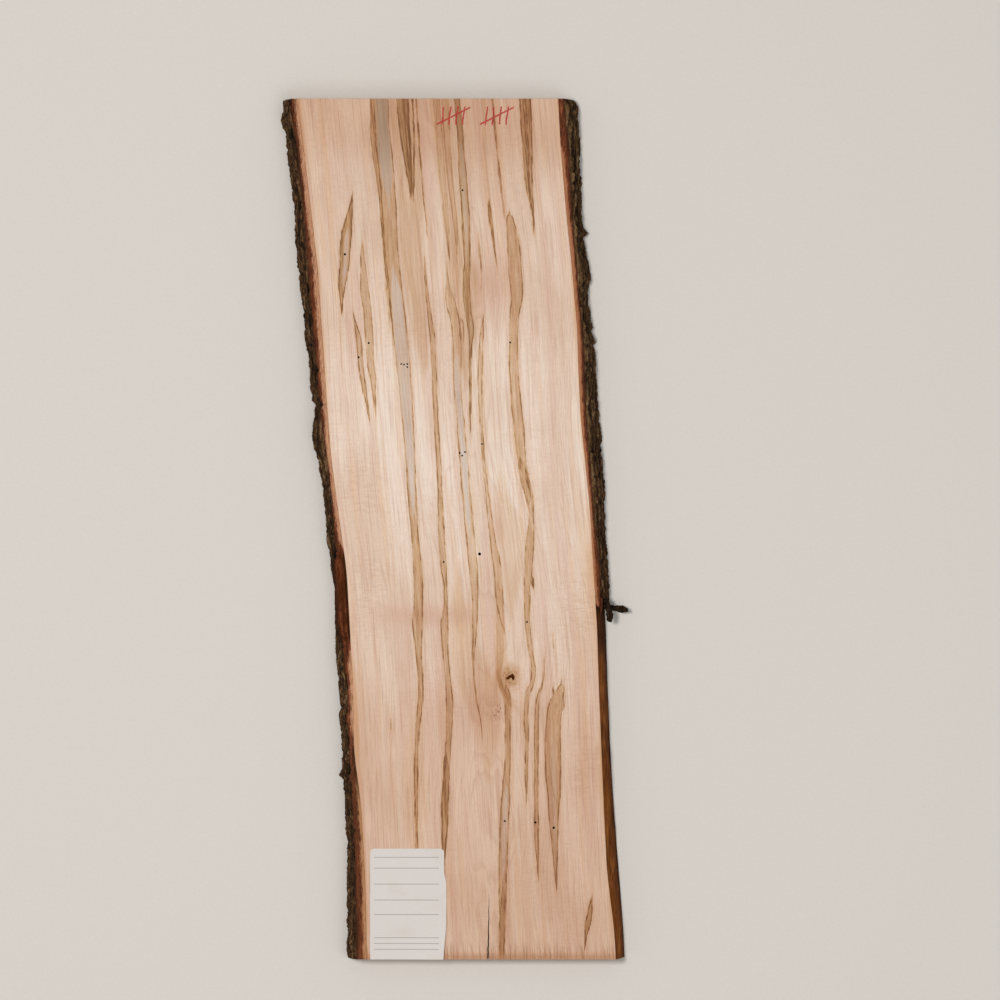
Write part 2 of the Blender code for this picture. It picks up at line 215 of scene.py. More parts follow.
# Stains of the wood. Each has its strengths, then rows of (pixel row, left, right). The
# strengths are those of its tan fill, of the dark line at its edges and of its grey core.
STAINS = [
    # The grey band left of the middle, its brown left border and its grey heart
    (0.55, 0.9, 0.0, [
        (98, 373.5, 388), (130, 374.5, 390), (160, 378, 393), (200, 381, 396), (220, 382, 397),
        (260, 385.5, 399.2), (290, 389, 402.5), (320, 391.5, 406), (340, 393.5, 408),
        (380, 398, 411.3), (410, 401, 413), (440, 404, 414.6), (470, 406, 415.8),
        (510, 409, 417.2), (540, 411.5, 419), (570, 413.5, 422.5), (600, 414, 423),
        (620, 412, 422.8), (650, 415.5, 422), (690, 418, 423.5), (720, 416, 421),
        (740, 415, 419), (775, 414, 418), (820, 415, 418), (960, 417, 418.5)]),
    (0.75, 0.7, 0.0, [
        (98, 370, 374.5), (150, 371.5, 377), (180, 376.5, 381), (215, 380, 383),
        (260, 384, 386.5), (310, 390, 391.5), (325, 392, 392)]),
    (0.0, 0.0, 0.85, [
        (98, 375, 388), (150, 377.5, 391), (175, 381, 393), (205, 388, 390), (262, 392, 393),
        (290, 391, 401), (320, 393, 405), (350, 395.5, 409), (390, 399, 411), (430, 403.5, 413),
        (470, 407, 415), (500, 410, 415), (520, 412.5, 413)]),
    # The brown band to the right of it and the lines beside that
    (0.7, 0.9, 0.0, [
        (98, 396.5, 407.6), (130, 399, 409.5), (160, 404, 410.9), (190, 409.5, 411.6),
        (200, 411.3, 411.3)]),
    (0.95, 0.5, 0.0, [
        (98, 403, 408), (150, 406.5, 411.5), (180, 409.5, 412.5), (196, 411.6, 411.6)]),
    (0.8, 1.0, 0.0, [
        (98, 411.6, 413.2), (140, 413.2, 414.8), (190, 412.8, 414.2), (202, 413.2, 413.2)]),
    (0.4, 0.9, 0.0, [
        (98, 415.2, 416.8), (140, 418.2, 419.8), (165, 420.2, 421.8), (182, 421.6, 422.8),
        (236, 427.4, 427.4)]),
    # The long streak left of the middle line
    (0.55, 0.85, 0.0, [
        (250, 424, 424), (270, 424.2, 426), (290, 425.2, 428), (315, 427.4, 431.6),
        (340, 429.8, 435), (370, 431.6, 436.8), (400, 432.6, 437.6), (430, 434.2, 439),
        (465, 436.4, 441.4), (510, 438, 443.2), (540, 438.4, 445), (570, 441, 447),
        (590, 444, 447.4), (610, 443, 448), (625, 440.4, 448.2), (650, 442, 448.4),
        (680, 445, 451), (710, 446, 453), (730, 446, 452), (750, 445, 451), (770, 443, 450),
        (790, 442, 449), (810, 441, 449), (846, 442, 446), (960, 441.5, 444.5)]),
    # The tan bands above the middle
    (0.3, 0.55, 0.0, [
        (98, 432.6, 439.6), (180, 439.6, 446), (230, 445, 449.5), (258, 448.6, 449.6),
        (264, 449.2, 449.2)]),
    (0.3, 0.5, 0.0, [
        (98, 441.4, 448.4), (180, 447.4, 453.2), (230, 454, 457.6), (258, 456.4, 457.8),
        (266, 457.4, 457.4)]),
    # The dark streak at the head end and what goes on below it
    (0.9, 0.9, 0.2, [
        (98, 454, 460), (130, 457, 463), (180, 459.4, 467), (230, 462.4, 470.2),
        (262, 463.8, 470.4), (280, 462.6, 470), (310, 464.6, 471.6), (330, 468, 474),
        (342, 469, 472.4), (418, 469.4, 471), (434, 470.6, 470.6)]),
    (0.0, 0.0, 0.6, [
        (132, 460, 460), (150, 459, 463.6), (180, 460.8, 465.8), (215, 462.6, 468),
        (240, 464, 468.6), (275, 466, 466)]),
    (0.35, 0.85, 0.0, [
        (262, 446.4, 446.4), (285, 446, 449.6), (300, 445.4, 454.6), (315, 449, 458.4),
        (330, 451.4, 461), (345, 452.4, 461.6), (380, 453.4, 461.2), (430, 457.2, 465.4),
        (470, 460.2, 468.8), (500, 462.4, 471.2), (540, 466.2, 475.2), (580, 470.2, 478),
        (600, 472, 478), (640, 472.4, 476.2), (655, 471.6, 474.6), (670, 472.6, 474.4),
        (690, 474.6, 476), (725, 480.6, 481.4), (740, 482.4, 482.4)]),
    (0.0, 0.0, 0.95, [
        (352, 456, 457), (380, 454.6, 460), (430, 458.4, 464.4), (470, 461.6, 467.8),
        (500, 464, 470), (520, 466.4, 470.4), (545, 470.4, 471)]),
    (0.1, 0.8, 0.0, [
        (317, 461, 461), (325, 459.5, 464), (342, 460, 463.5), (352, 462, 462)]),
    # The lens to the right of the dark streak, thin lines, and the streak above the knot
    (0.7, 0.9, 0.0, [
        (198, 488.8, 488.8), (210, 488.4, 491.4), (225, 489.6, 493.2), (240, 491.8, 494.4),
        (256, 494.6, 496), (266, 496.4, 496.4)]),
    (0.5, 0.8, 0.0, [
        (98, 491.3, 492.8), (150, 496.3, 497.8), (190, 500.3, 501.7), (222, 505, 505)]),
    (0.3, 0.8, 0.0, [(234, 478, 478), (245, 478.4, 479.8), (265, 480.4, 481.8), (292, 481.4, 481.4)]),
    (0.3, 0.9, 0.0, [
        (314, 483.6, 483.6), (330, 480.6, 484), (345, 479, 483.4), (380, 477.6, 482.4),
        (410, 479, 482.6), (440, 481.2, 484), (455, 481.8, 484.4), (480, 484, 487.4),
        (510, 486.8, 491), (540, 489.8, 496), (560, 492, 500), (580, 494, 502.4),
        (600, 496, 503.4), (618, 499.5, 504), (636, 505.4, 505.4)]),
    (0.35, 0.3, 0.0, [
        (585, 497, 499), (600, 496, 503), (625, 496.6, 504), (645, 496.6, 504), (660, 497, 503),
        (675, 497, 501), (695, 502, 504.4), (706, 504.4, 504.4)]),
    # The broad streak on the right, and the dark line where it crosses over
    (0.55, 0.8, 0.0, [
        (210, 509.5, 509.5), (222, 506.2, 514.4), (240, 506.8, 519), (270, 508.6, 521.8),
        (290, 510.4, 523), (300, 511, 522.4), (312, 510, 520.2), (330, 509, 518.2),
        (350, 509, 518), (380, 509.6, 519.4), (420, 513, 523.4), (450, 516, 525.8),
        (466, 518, 527), (478, 520, 529.4), (490, 523, 532), (503, 526.6, 533.6),
        (515, 529, 534.2), (530, 527.4, 534.2), (545, 525.6, 534), (570, 524.2, 532.4),
        (590, 523.8, 530.4), (610, 524, 530.2), (630, 525.2, 531), (645, 527.4, 532.6),
        (655, 529, 533.8), (670, 531, 535.6), (681, 530, 535), (690, 526.4, 532),
        (697, 524.6, 529.8), (720, 524, 528.4), (740, 525, 529), (770, 525, 528),
        (805, 526.5, 526.5)]),
    (0.5, 0.9, 0.0, [
        (460, 522.6, 522.6), (470, 524.4, 527), (480, 526, 529.6), (490, 529, 532),
        (500, 531.4, 533.4), (516, 533.6, 533.6)]),
    # The band at the head end on the right, and its dark core
    (0.8, 0.9, 0.0, [
        (98, 519, 531), (130, 521, 532), (150, 522.5, 532.5), (190, 526, 533),
        (210, 531.5, 534), (236, 534.3, 534.3)]),
    (0.75, 0.9, 0.0, [
        (98, 523, 525.5), (130, 524.6, 527.8), (165, 526, 529), (200, 529.5, 530.5),
        (212, 531, 531)]),
    # The streak and the big lens low on the right
    (0.55, 0.85, 0.0, [
        (658, 544.4, 544.4), (672, 543.2, 544.6), (685, 541, 543.2), (696, 536.6, 540.2),
        (710, 534.8, 539.2), (740, 534, 538.6), (830, 534, 538.8), (860, 536.4, 539),
        (882, 538.3, 538.3)]),
    (0.55, 0.85, 0.0, [
        (681, 561.6, 561.6), (684, 560.2, 562.4), (687, 558, 564.2), (690, 556.4, 564.6),
        (695, 553.4, 563.8), (700, 550.2, 563.6), (706, 547.8, 564.8), (712, 546.8, 562),
        (720, 546.2, 561.2), (740, 545, 561), (770, 545, 561), (790, 547, 560.8),
        (810, 548, 559), (830, 550, 558.2), (850, 552.4, 558), (870, 554, 557.4),
        (896, 557, 557)]),
    (0.75, 0.0, 0.55, [
        (742, 553, 553), (760, 549, 556), (790, 549.6, 557.6), (815, 550.6, 557.2),
        (840, 552.6, 556.6), (878, 555.4, 555.4)]),
    (0.2, 0.9, 0.0, [
        (744, 551, 551), (755, 550.3, 551.7), (785, 551, 552.4), (800, 555, 557),
        (810, 556.5, 556.5)]),
    # The streak below the knot, and its grey heart
    (0.5, 0.85, 0.0, [
        (684, 506, 506), (694, 503.6, 510.6), (704, 504.6, 511), (740, 505, 510.6),
        (765, 504.4, 510.4), (785, 502.4, 510.2), (800, 501, 510), (820, 500, 509),
        (850, 499, 508), (880, 498.4, 507), (910, 499, 506), (962, 499, 504)]),
    (0.0, 0.0, 0.8, [
        (782, 506, 506), (795, 503.4, 508.6), (820, 501.8, 507.4), (850, 500.8, 506.2),
        (876, 502, 504.6), (890, 503, 503)]),
    # The lenses on the left, and their grey hearts
    (0.9, 0.95, 0.0, [
        (192, 352.8, 352.8), (210, 348, 352.6), (235, 341, 351.6), (245, 340, 351),
        (265, 339.5, 349.5), (280, 338.6, 347), (295, 339.4, 344), (316, 342, 342)]),
    (0.0, 0.0, 0.8, [
        (226, 348, 348), (238, 343.8, 350), (262, 343, 348), (280, 342, 345.8),
        (292, 343.4, 343.4)]),
    (0.6, 0.8, 0.2, [
        (240, 362, 362), (260, 360.4, 365), (290, 360.4, 369), (310, 363, 371.4),
        (330, 364.6, 373), (360, 367, 374), (380, 370, 376), (400, 373.5, 376),
        (417, 375.5, 375.5)]),
    (0.6, 0.9, 0.0, [
        (312, 353, 353), (324, 354, 357), (340, 356.3, 361.5), (360, 357.5, 362.8),
        (390, 362.5, 366.5), (424, 370, 370)]),
    (0.2, 0.8, 0.0, [(280, 385.8, 385.8), (300, 387, 388.2), (325, 389, 390.2), (332, 389.8, 389.8)]),
    # Darker stretches of three streaks
    (1.0, 0.9, 0.0, [
        (752, 447, 447), (775, 443.4, 449.4), (810, 441.4, 448.4), (846, 441.6, 446.4),
        (870, 444, 444)]),
    (0.8, 0.5, 0.0, [(878, 503, 503), (915, 500, 505.2), (962, 498.6, 504.4)]),
    (0.85, 0.7, 0.0, [
        (455, 519.4, 519.4), (470, 519.4, 526), (484, 521.6, 529), (496, 525.4, 531),
        (506, 529, 529)]),
    # Small marks
    (0.5, 1.3, 0.0, [(686, 553, 553), (689, 552.4, 553.8), (694, 552.6, 555), (697, 553.4, 553.4)]),
    (0.6, 1.4, 0.0, [(679, 561.6, 561.6), (682, 560.8, 562.6), (685, 560, 562), (687, 559, 559)]),
    (0.7, 0.9, 0.0, [
        (894, 592.4, 592.4), (905, 588.8, 592.6), (916, 586.6, 592), (926, 584.8, 590.4),
        (936, 585, 587.4), (954, 584, 584)]),
    (0.2, 0.9, 0.0, [(719, 391, 391), (725, 390.3, 391.7), (733, 391.2, 391.2)]),
    (0.2, 0.9, 0.0, [(632, 553, 553), (640, 552.3, 553.8), (650, 553.5, 553.5)]),
    (1.0, 1.3, 0.0, [(576, 532.4, 532.4), (582, 531.4, 534.4), (590, 533.4, 533.4)]),
]

# Soft clouds of tan beside the stains, as a strength and rows of (pixel row, left, right)
CLOUDS = [
    (0.75, [(98, 388, 413), (150, 393, 418), (200, 397, 424), (250, 400, 424), (300, 407, 426),
            (340, 414, 428), (362, 420, 428)]),
    (0.85, [(250, 446, 470), (285, 448, 478), (320, 452, 478), (350, 458, 474)]),
    (0.55, [(98, 430, 456), (180, 438, 464), (250, 444, 472), (300, 446, 476), (345, 455, 474),
            (370, 462, 468)]),
    (0.1, [(392, 280, 378), (430, 280, 383), (480, 280, 387), (530, 280, 390), (570, 280, 388),
           (640, 280, 384), (700, 280, 388), (745, 280, 384), (770, 280, 330)]),
    (0.6, [(98, 482, 487), (150, 481.4, 487.6), (190, 485, 491), (215, 488, 494), (235, 491, 493)]),
    (0.5, [(525, 600, 640), (560, 586, 640), (600, 589, 640), (640, 598, 660), (735, 601, 660),
           (755, 594, 660), (800, 597, 660), (830, 608, 660)]),
    (0.55, [(600, 452, 466), (640, 450, 478), (670, 454, 490), (700, 464, 500), (730, 474, 500),
            (765, 484, 492)]),
    (0.55, [(495, 494, 508), (530, 496, 524), (560, 500, 524), (600, 506, 516)]),
]

# A stain or cloud that lies nowhere, as its left edge is past its right one
NOWHERE = (0.0, 0.0, 0.0, [(98, 1000, 0), (960, 1000, 0)])

# Places of the label's ruled lines over the foot end, and where they start and end from its
# left edge
TAG_RULES = [141.0, 126.0, 104.0, 82.0, 62.0, 30.0, 22.0, 14.0]
TAG_RULE_ENDS = (5.0, 95.0)


def rgb(red, green, blue):
    """A screen colour from 0 to 255 as the linear colour that shaders use."""
    levels = [value / 255.0 for value in (red, green, blue)]
    linear = [v / 12.92 if v <= 0.04045 else ((v + 0.055) / 1.055) ** 2.4 for v in levels]
    return (*linear, 1.0)


def straight(points, along):
    """The listed value at a place along the slab, on straight runs between the points."""
    places = [-place for place, value in points]
    after = min(max(bisect.bisect_left(places, -along), 1), len(points) - 1)
    (here, value), (there, next_value) = points[after - 1], points[after]
    share = min(max((here - along) / (here - there), 0.0), 1.0)
    return value + share * (next_value - value)


def smooth(points, along, reach=16.0):
    """The same with its corners rounded, as the mean over a short stretch."""
    steps = [-1.0, -0.5, 0.0, 0.5, 1.0]
    ends = (points[-1][0], points[0][0])
    places = [min(max(along + step * reach, ends[0]), ends[1]) for step in steps]
    return sum(straight(points, place) for place in places) / len(steps)


def ease(value, start, end):
    """Zero at start, one at end and a smooth rise between."""
    share = min(max((value - start) / (end - start), 0.0), 1.0)
    return share * share * (3.0 - 2.0 * share)


def jitter(*place):
    """Smooth noise from about -1 to 1."""
    return noise.noise(Vector(place))


class Edge:
    """The wood's live edge on one side at one place along the slab."""

    def __init__(self, side, along):
        edge, flare = LINES[side][:2]
        self.side = side
        self.edge = smooth(edge, along)
        self.flare = smooth(flare, along)

    def at(self, level):
        """Its place across at a level over the back face."""
        depth = 1.0 - level / THICKNESS
        bulge = EDGE_BULGE * 4.0 * depth * (1.0 - depth)
        return self.edge + self.side * (self.flare * depth + bulge)


def flaked(side, along):
    """One where the outer bark has flaked off the left edge, zero elsewhere."""
    if side == RIGHT:
        return 0.0
    inside = min(FLAKE_HEAD - along, along - FLAKE_FOOT)
    return min(max(inside / FLAKE_FADE, 0.0), 1.0)


def bark_relief(side, along, level):
    """Height of the bark's scales over its mean surface, about -1 in furrows to 1 on scales."""
    seed = 20.0 * side
    sway = jitter(along / 40.0, level / 16.0, seed + 7.0)
    relief = 0.0
    for length, width, share, shift in SCALES:
        spot = Vector((along / length + 0.4 * sway, level / width + 0.8 * sway, seed + shift))
        (near, second, _, _), (centre, _, _, _) = noise.voronoi(spot)
        furrow = 1.0 - ease(second - near, 0.0, 0.3)
        tilt = (spot - centre).dot(Vector((0.9, 0.5, 0.0)))
        top = 0.3 + 0.5 * noise.cell(centre * 7.3) + 0.5 * tilt
        relief += share * ((1.0 - furrow) * top - furrow)
    length, width, share = SEAMS
    wander = jitter(along / length, level / width + 0.5 * sway, seed + 23.0)
    return relief - share * (1.0 - ease(abs(wander), 0.0, 0.13))


def bark_chips(side, along, level):
    """Small flakes on the plates."""
    seed = 20.0 * side + 3.0
    large = jitter(along / 7.0, level / 3.0, seed)
    small = jitter(along / 2.6, level / 1.5, seed + 5.0)
    return large + 0.6 * small


def loft(mesh, rings, capped=(True, True)):
    """Join cross-sections that all have the same number of points."""
    loops = [[mesh.verts.new(point) for point in ring] for ring in rings]
    count = len(loops[0])
    for here, there in zip(loops, loops[1:]):
        for k in range(count):
            m = (k + 1) % count
            mesh.faces.new((here[k], here[m], there[m], there[k]))
    for loop, closed in zip((loops[0], loops[-1]), capped):
        if closed:
            mesh.faces.new(loop)


def add_object(name, data):
    made = bpy.data.objects.new(name, data)
    bpy.context.scene.collection.objects.link(made)
    return made


def to_object(name, mesh, *surfaces):
    """An object in the scene from a mesh in millimetres."""
    bmesh.ops.recalc_face_normals(mesh, faces=mesh.faces)
    mesh.transform(Matrix.Scale(MM, 4))
    data = bpy.data.meshes.new(name)
    mesh.to_mesh(data)
    mesh.free()
    for surface in surfaces:
        data.materials.append(surface)
    return add_object(name, data)


def keep_values(data, name, values):
    """Store one number for each point of a mesh, for its material to read."""
    made = data.attributes.new(name, "FLOAT", "POINT")
    made.data.foreach_set("value", values)


class Field:
    """A number, place or colour that varies over a surface. The usual signs work on it."""

    def __init__(self, surface, socket):
        self.surface = surface
        self.socket = socket

    def with_other(self, operation, first, second):
        """The result of a node on two values: numbers, or three numbers at a time."""
        fields = [value for value in (first, second) if isinstance(value, Field)]
        single = all(field.socket.type == "VALUE" for field in fields)
        make = self.surface.math if single else self.surface.vector
        return make(operation, first, second)

    def __add__(self, other):
        return self.with_other("ADD", self, other)

    def __sub__(self, other):
        return self.with_other("SUBTRACT", self, other)

    def __rsub__(self, other):
        return self.with_other("SUBTRACT", other, self)

    def __mul__(self, other):
        return self.with_other("MULTIPLY", self, other)

    def __truediv__(self, other):
        return self.with_other("DIVIDE", self, other)

    def __abs__(self):
        return self.surface.math("ABSOLUTE", self)


def most(first, second):
    """The greater of two values, of which the second is a field."""
    return second.with_other("MAXIMUM", first, second)


# Numbers of sockets that share their names with others: the first of Map Range for three
# numbers at a time, and the inputs and the result of Mix for colours
RANGE_FIRST = 6
MIX_INPUTS = (0, 6, 7)
MIX_RESULT = 2


class Surface:
    """A material, with short names for making its nodes."""

    def __init__(self, name):
        self.material = bpy.data.materials.new(name)
        self.material.use_nodes = True
        self.tree = self.material.node_tree
        self.shader = self.tree.nodes["Principled BSDF"]

    def put(self, value, socket):
        """Link a field into a socket, or set the socket to a plain value."""
        if isinstance(value, Field):
            self.tree.links.new(value.socket, socket)
        elif socket.type == "VECTOR" and not hasattr(value, "__len__"):
            socket.default_value = (value, value, value)
        else:
            socket.default_value = value

    def put_all(self, node, **values):
        """Put values into the inputs whose names they are given by."""
        for name, value in values.items():
            self.put(value, node.inputs[name.replace("_", " ")])

    def node(self, kind, *values, **settings):
        made = self.tree.nodes.new("ShaderNode" + kind)
        for name, value in settings.items():
            setattr(made, name, value)
        for value, socket in zip(values, made.inputs):
            self.put(value, socket)
        return made

    def field(self, node, output=0):
        return Field(self, node.outputs[output])

    def math(self, operation, *values, clamp=False):
        return self.field(self.node("Math", *values, operation=operation, use_clamp=clamp))

    def vector(self, operation, *values, output=0):
        return self.field(self.node("VectorMath", *values, operation=operation), output)

    def fade(self, value, start, end, low=0.0, high=1.0):
        """A smooth change from low at start to high at end, of a number or of three."""
        single = value.socket.type == "VALUE"
        made = self.node("MapRange", interpolation_type="SMOOTHSTEP",
                         data_type="FLOAT" if single else "FLOAT_VECTOR")
        sockets = made.inputs[0 if single else RANGE_FIRST:]
        for given, socket in zip((value, start, end, low, high), sockets):
            self.put(given, socket)
        return self.field(made, "Result" if single else "Vector")

    def mix(self, factor, low, high, blend="MIX"):
        made = self.node("Mix", data_type="RGBA", blend_type=blend)
        for value, index in zip((factor, low, high), MIX_INPUTS):
            self.put(value, made.inputs[index])
        return self.field(made, MIX_RESULT)

    def over(self, tone, *layers):
        """The tone with layers over it, each a share and a screen colour."""
        for share, *colour in layers:
            tone = self.mix(share, tone, rgb(*colour))
        return tone

    def tint(self, tone, colour, factor=1.0):
        return self.mix(factor, tone, colour, blend="MULTIPLY")

    def shaded(self, tone, change):
        """The tone made lighter or darker by a change from about -1 to 1."""
        shade = change + 1.0
        return self.tint(tone, self.join(shade, shade, shade))

    def place(self):
        """Place on the object in millimetres."""
        return self.field(self.node("TexCoord"), "Object") * (1.0 / MM)

    def parts(self, vector):
        return [Field(self, socket) for socket in self.node("SeparateXYZ", vector).outputs]

    def join(self, x, y, z):
        return self.field(self.node("CombineXYZ", x, y, z))

    def noise(self, place, across, along, deep=None, detail=2.0, roughness=0.5, shift=0.0):
        """Noise from about 0 to 1 whose spots have the given sizes in millimetres."""
        sizes = (across, along, deep or across)
        spot = self.vector("MULTIPLY_ADD", place, [1.0 / size for size in sizes], shift)
        made = self.node("TexNoise", spot)
        self.put_all(made, Scale=1.0, Detail=detail, Roughness=roughness)
        return self.field(made)

    def around(self, value, reach):
        """Turn noise into a number from about -reach to reach."""
        return (value - 0.5) * (2.0 * reach)

    def swing(self, reach, place, across, along, **settings):
        """Noise from about -reach to reach."""
        return self.around(self.noise(place, across, along, **settings), reach)

    def value(self, name):
        """A number stored for each point of the mesh."""
        return self.field(self.node("Attribute", attribute_name=name), "Fac")

    def ramp(self, factor, stops):
        """A colour ramp through (place, colour)."""
        made = self.node("ValToRGB", factor)
        elements = made.color_ramp.elements
        while len(elements) > 1:
            elements.remove(elements[-1])
        for number, (place, colour) in enumerate(stops):
            element = elements.new(place) if number else elements[0]
            element.position = place
            element.color = colour
        return self.field(made)

    def bump(self, height, strength=1.0):
        """Relief of a height in millimetres."""
        made = self.node("Bump")
        self.put_all(made, Distance=MM, Strength=strength, Height=height)
        self.put_all(self.shader, Normal=self.field(made))

    def finish(self, colour, roughness, specular):
        self.put_all(self.shader, Base_Color=colour, Roughness=roughness, Specular_IOR_Level=specular)
        return self.material


# The window of the stain curves: their values run from 0 to 1 over this width
WINDOW_LEFT = -180.0
WINDOW_WIDTH = 420.0

# A stain that doesn't run off an end of the slab is closed past its tip. Over this share of
# the slab's length its edges cross, and each goes on this many millimetres.
CLOSING = 0.012
CROSSING = 3.0
HEAD_ROW = 98
FOOT_ROW = 958

# Depths inside its outline, in millimetres, between which a stain comes in, its edge line
# goes out and its core comes in, and the same for a cloud
FILL = (-0.8, 0.7)
LINE_OUT = (0.6, 2.2)
CORE = (-0.8, 2.2)
CLOUD = (-5.0, 6.0)
FAR_OUTSIDE = -50.0


def along_share(row):
    """Share of the slab's length from the foot end, for a row of the picture."""
    return ((PICTURE_ZERO[1] - row) * PIXEL - FOOT) / LENGTH


def window_share(column):
    """Share of the window of the stain curves, for a column of the picture."""
    return ((column - PICTURE_ZERO[0]) * PIXEL - WINDOW_LEFT) / WINDOW_WIDTH


def edge_curve(rows, side):
    """Points of a curve along one edge of a stain, kept closed beyond its two ends."""
    crossed = side * CROSSING / WINDOW_WIDTH
    points = [(along_share(row), window_share(left if side == LEFT else right))
              for row, left, right in rows]
    first, last = points[0], points[-1]
    if rows[0][0] > HEAD_ROW:
        points.insert(0, (first[0] + CLOSING, first[1] - crossed))
    if rows[-1][0] < FOOT_ROW:
        points.append((last[0] - CLOSING, last[1] - crossed))
    return sorted((min(max(x, 0.0), 1.0), y) for x, y in points)


def curves(s, kind, along, listed):
    """What a node's curves give at a place along the slab, from the points of each curve."""
    made = s.node(kind)
    s.put(along, made.inputs[1])
    for curve, points in zip(made.mapping.curves, listed):
        curve.points[0].location = points[0]
        curve.points[1].location = points[-1]
        for x, y in points[1:-1]:
            curve.points.new(x, y)
        for point in curve.points:
            point.handle_type = "AUTO_CLAMPED"
    made.mapping.update()
    return s.field(made)


def curve_along(s, along, points, low, span):
    """A value read from a curve of (place along, value), between low and low + span."""
    shares = sorted(((place - FOOT) / LENGTH, (value - low) / span) for place, value in points)
    return curves(s, "FloatCurve", along, [shares]) * span + low


def three_depths(s, along, across, stains):
    """How far inside each of three stains a place lies, in millimetres."""
    left, right = [curves(s, "RGBCurve", along, [edge_curve(stain[-1], side) for stain in stains])
                   for side in (LEFT, RIGHT)]
    return s.vector("MINIMUM", across - left, right - across) * WINDOW_WIDTH


def greatest(s, vector):
    x, y, z = s.parts(vector)
    return most(x, most(y, z))


def by_threes(stains):
    """The stains in threes. What lies nowhere makes up the last three."""
    stains = stains + [NOWHERE] * (-len(stains) % 3)
    return [stains[first:first + 3] for first in range(0, len(stains), 3)]


def stain_masks(s, along, across):
    """Fill, edge line and core of all the stains, and how deep inside one a place lies."""
    masks = [(0.0, 0.0, 0.0)] * 3
    deepest = (FAR_OUTSIDE,) * 3
    for stains in by_threes(STAINS):
        inside = three_depths(s, along, across, stains)
        deepest = most(deepest, inside)
        fill = s.fade(inside, *FILL)
        line = fill * (1.0 - s.fade(inside, *LINE_OUT))
        for kind, mask in enumerate((fill, line, s.fade(inside, *CORE))):
            masks[kind] = most(masks[kind], mask * [stain[kind] for stain in stains])
    return [greatest(s, mask) for mask in (*masks, deepest)]


def cloud_mask(s, along, across):
    """Strength of the soft clouds of tan."""
    mask = (0.0, 0.0, 0.0)
    for clouds in by_threes(CLOUDS):
        soft = s.fade(three_depths(s, along, across, clouds), *CLOUD)
        mask = most(mask, soft * [cloud[0] for cloud in clouds])
    return greatest(s, mask)


# Heart of the tree, under the slab's middle line
HEART_LEVEL = -30.0
HEART_ACROSS = 12.0
RING_WIDTH = 3.6
KNOT_SWELL = 16.0           # how far the rings rise round the knot
SPOT_DEPTH = 60.0           # how deep under the show face its marks reach, as a half-width

# How much the wood darkens towards the ends: place along and share
END_TONE = [(594, 1.0), (555, 0.98), (520, 0.8), (454, 0.45), (330, 0.42), (240, 0.18), (170, 0.0),
            (60, 0.06), (-40, 0.16), (-160, 0.38), (-300, 0.78), (-400, 0.83), (-594, 0.88)]
MIDDLE_TINT = (0.94, 0.975, 1.01, 1.0)
END_TINT = (0.735, 0.615, 0.53, 1.0)

# What is left of the wood's red, green and blue under an amount of brown dye
DYE_MOST = 1.4
DYE = [(0.0, (1.0, 1.0, 1.0, 1.0)), (0.25, (0.89, 0.8, 0.68, 1.0)), (0.5, (0.78, 0.635, 0.455, 1.0)),
       (0.75, (0.63, 0.46, 0.26, 1.0)), (1.0, (0.42, 0.26, 0.1, 1.0)),
       (DYE_MOST, (0.29, 0.155, 0.045, 1.0))]
# The same under the grey stain, in the middle of the slab and at the head end
GREY_MIDDLE = (0.76, 0.765, 0.785, 1.0)
GREY_HEAD = (0.49, 0.48, 0.42, 1.0)

# Places of strong ripple on the face: centre and half-widths
RIPPLES = [((-115, -87), (24, 52)), ((172, -110), (26, 46)), ((180, -330), (16, 40)),
           ((100, 73), (12, 10)), ((-130, 60), (26, 40))]
# Blushes of pink-brown
BLUSHES = [((-40, -119), (58, 11)), ((50, 334), (23, 26)), ((62, 5), (7, 22)), ((20, -245), (40, 36))]

# The crayon tallies: where each begins, the space between strokes, their ends and half-width
TALLY_STARTS = (-18.0, 42.0)
TALLY_PITCH = 9.5
TALLY_FOOT = 557.0
TALLY_HEAD = 584.0
STROKE_HALF = 0.85


def dyed(s, tone, amount):
    """The tone under an amount of brown dye."""
    return s.tint(tone, s.ramp(amount / DYE_MOST, [(place / DYE_MOST, left) for place, left in DYE]))


def gaussian(s, place, centre, sizes):
    """A round bump of height 1 at a place, with the given half-widths."""
    away = (place - centre) / sizes
    return s.math("EXPONENT", s.vector("DOT_PRODUCT", away, away, output="Value") * -0.5)


def spots(s, place, listed):
    """The greatest of several round bumps on the show face."""
    mask = 0.0
    for (x, y), (across, along) in listed:
        mask = most(mask, gaussian(s, place, (x, y, THICKNESS), (across, along, SPOT_DEPTH)))
    return mask


def crayon_tally(s, x, y, start):
    """Four upright crayon strokes and one across them, beginning at a place across."""
    run = (x - start + (y * -0.1 + 57.0)) / TALLY_PITCH
    away = abs(s.math("FRACT", run) - 0.5) * TALLY_PITCH
    upright = s.fade(away, STROKE_HALF + 0.5, STROKE_HALF)
    for value, outside, inside in ((run, 0.0, 0.05), (run, 4.0, 3.95), (y, TALLY_FOOT, TALLY_FOOT + 2.0),
                                   (y, TALLY_HEAD, TALLY_HEAD - 2.0)):
        upright = upright * s.fade(value, outside, inside)
    away = abs(y - (run * 5.0 + (TALLY_FOOT + 3.0)))
    slant = s.fade(away, STROKE_HALF + 0.8, STROKE_HALF + 0.1)
    return most(upright, slant * s.fade(run, -0.4, -0.3) * s.fade(run, 4.4, 4.3))


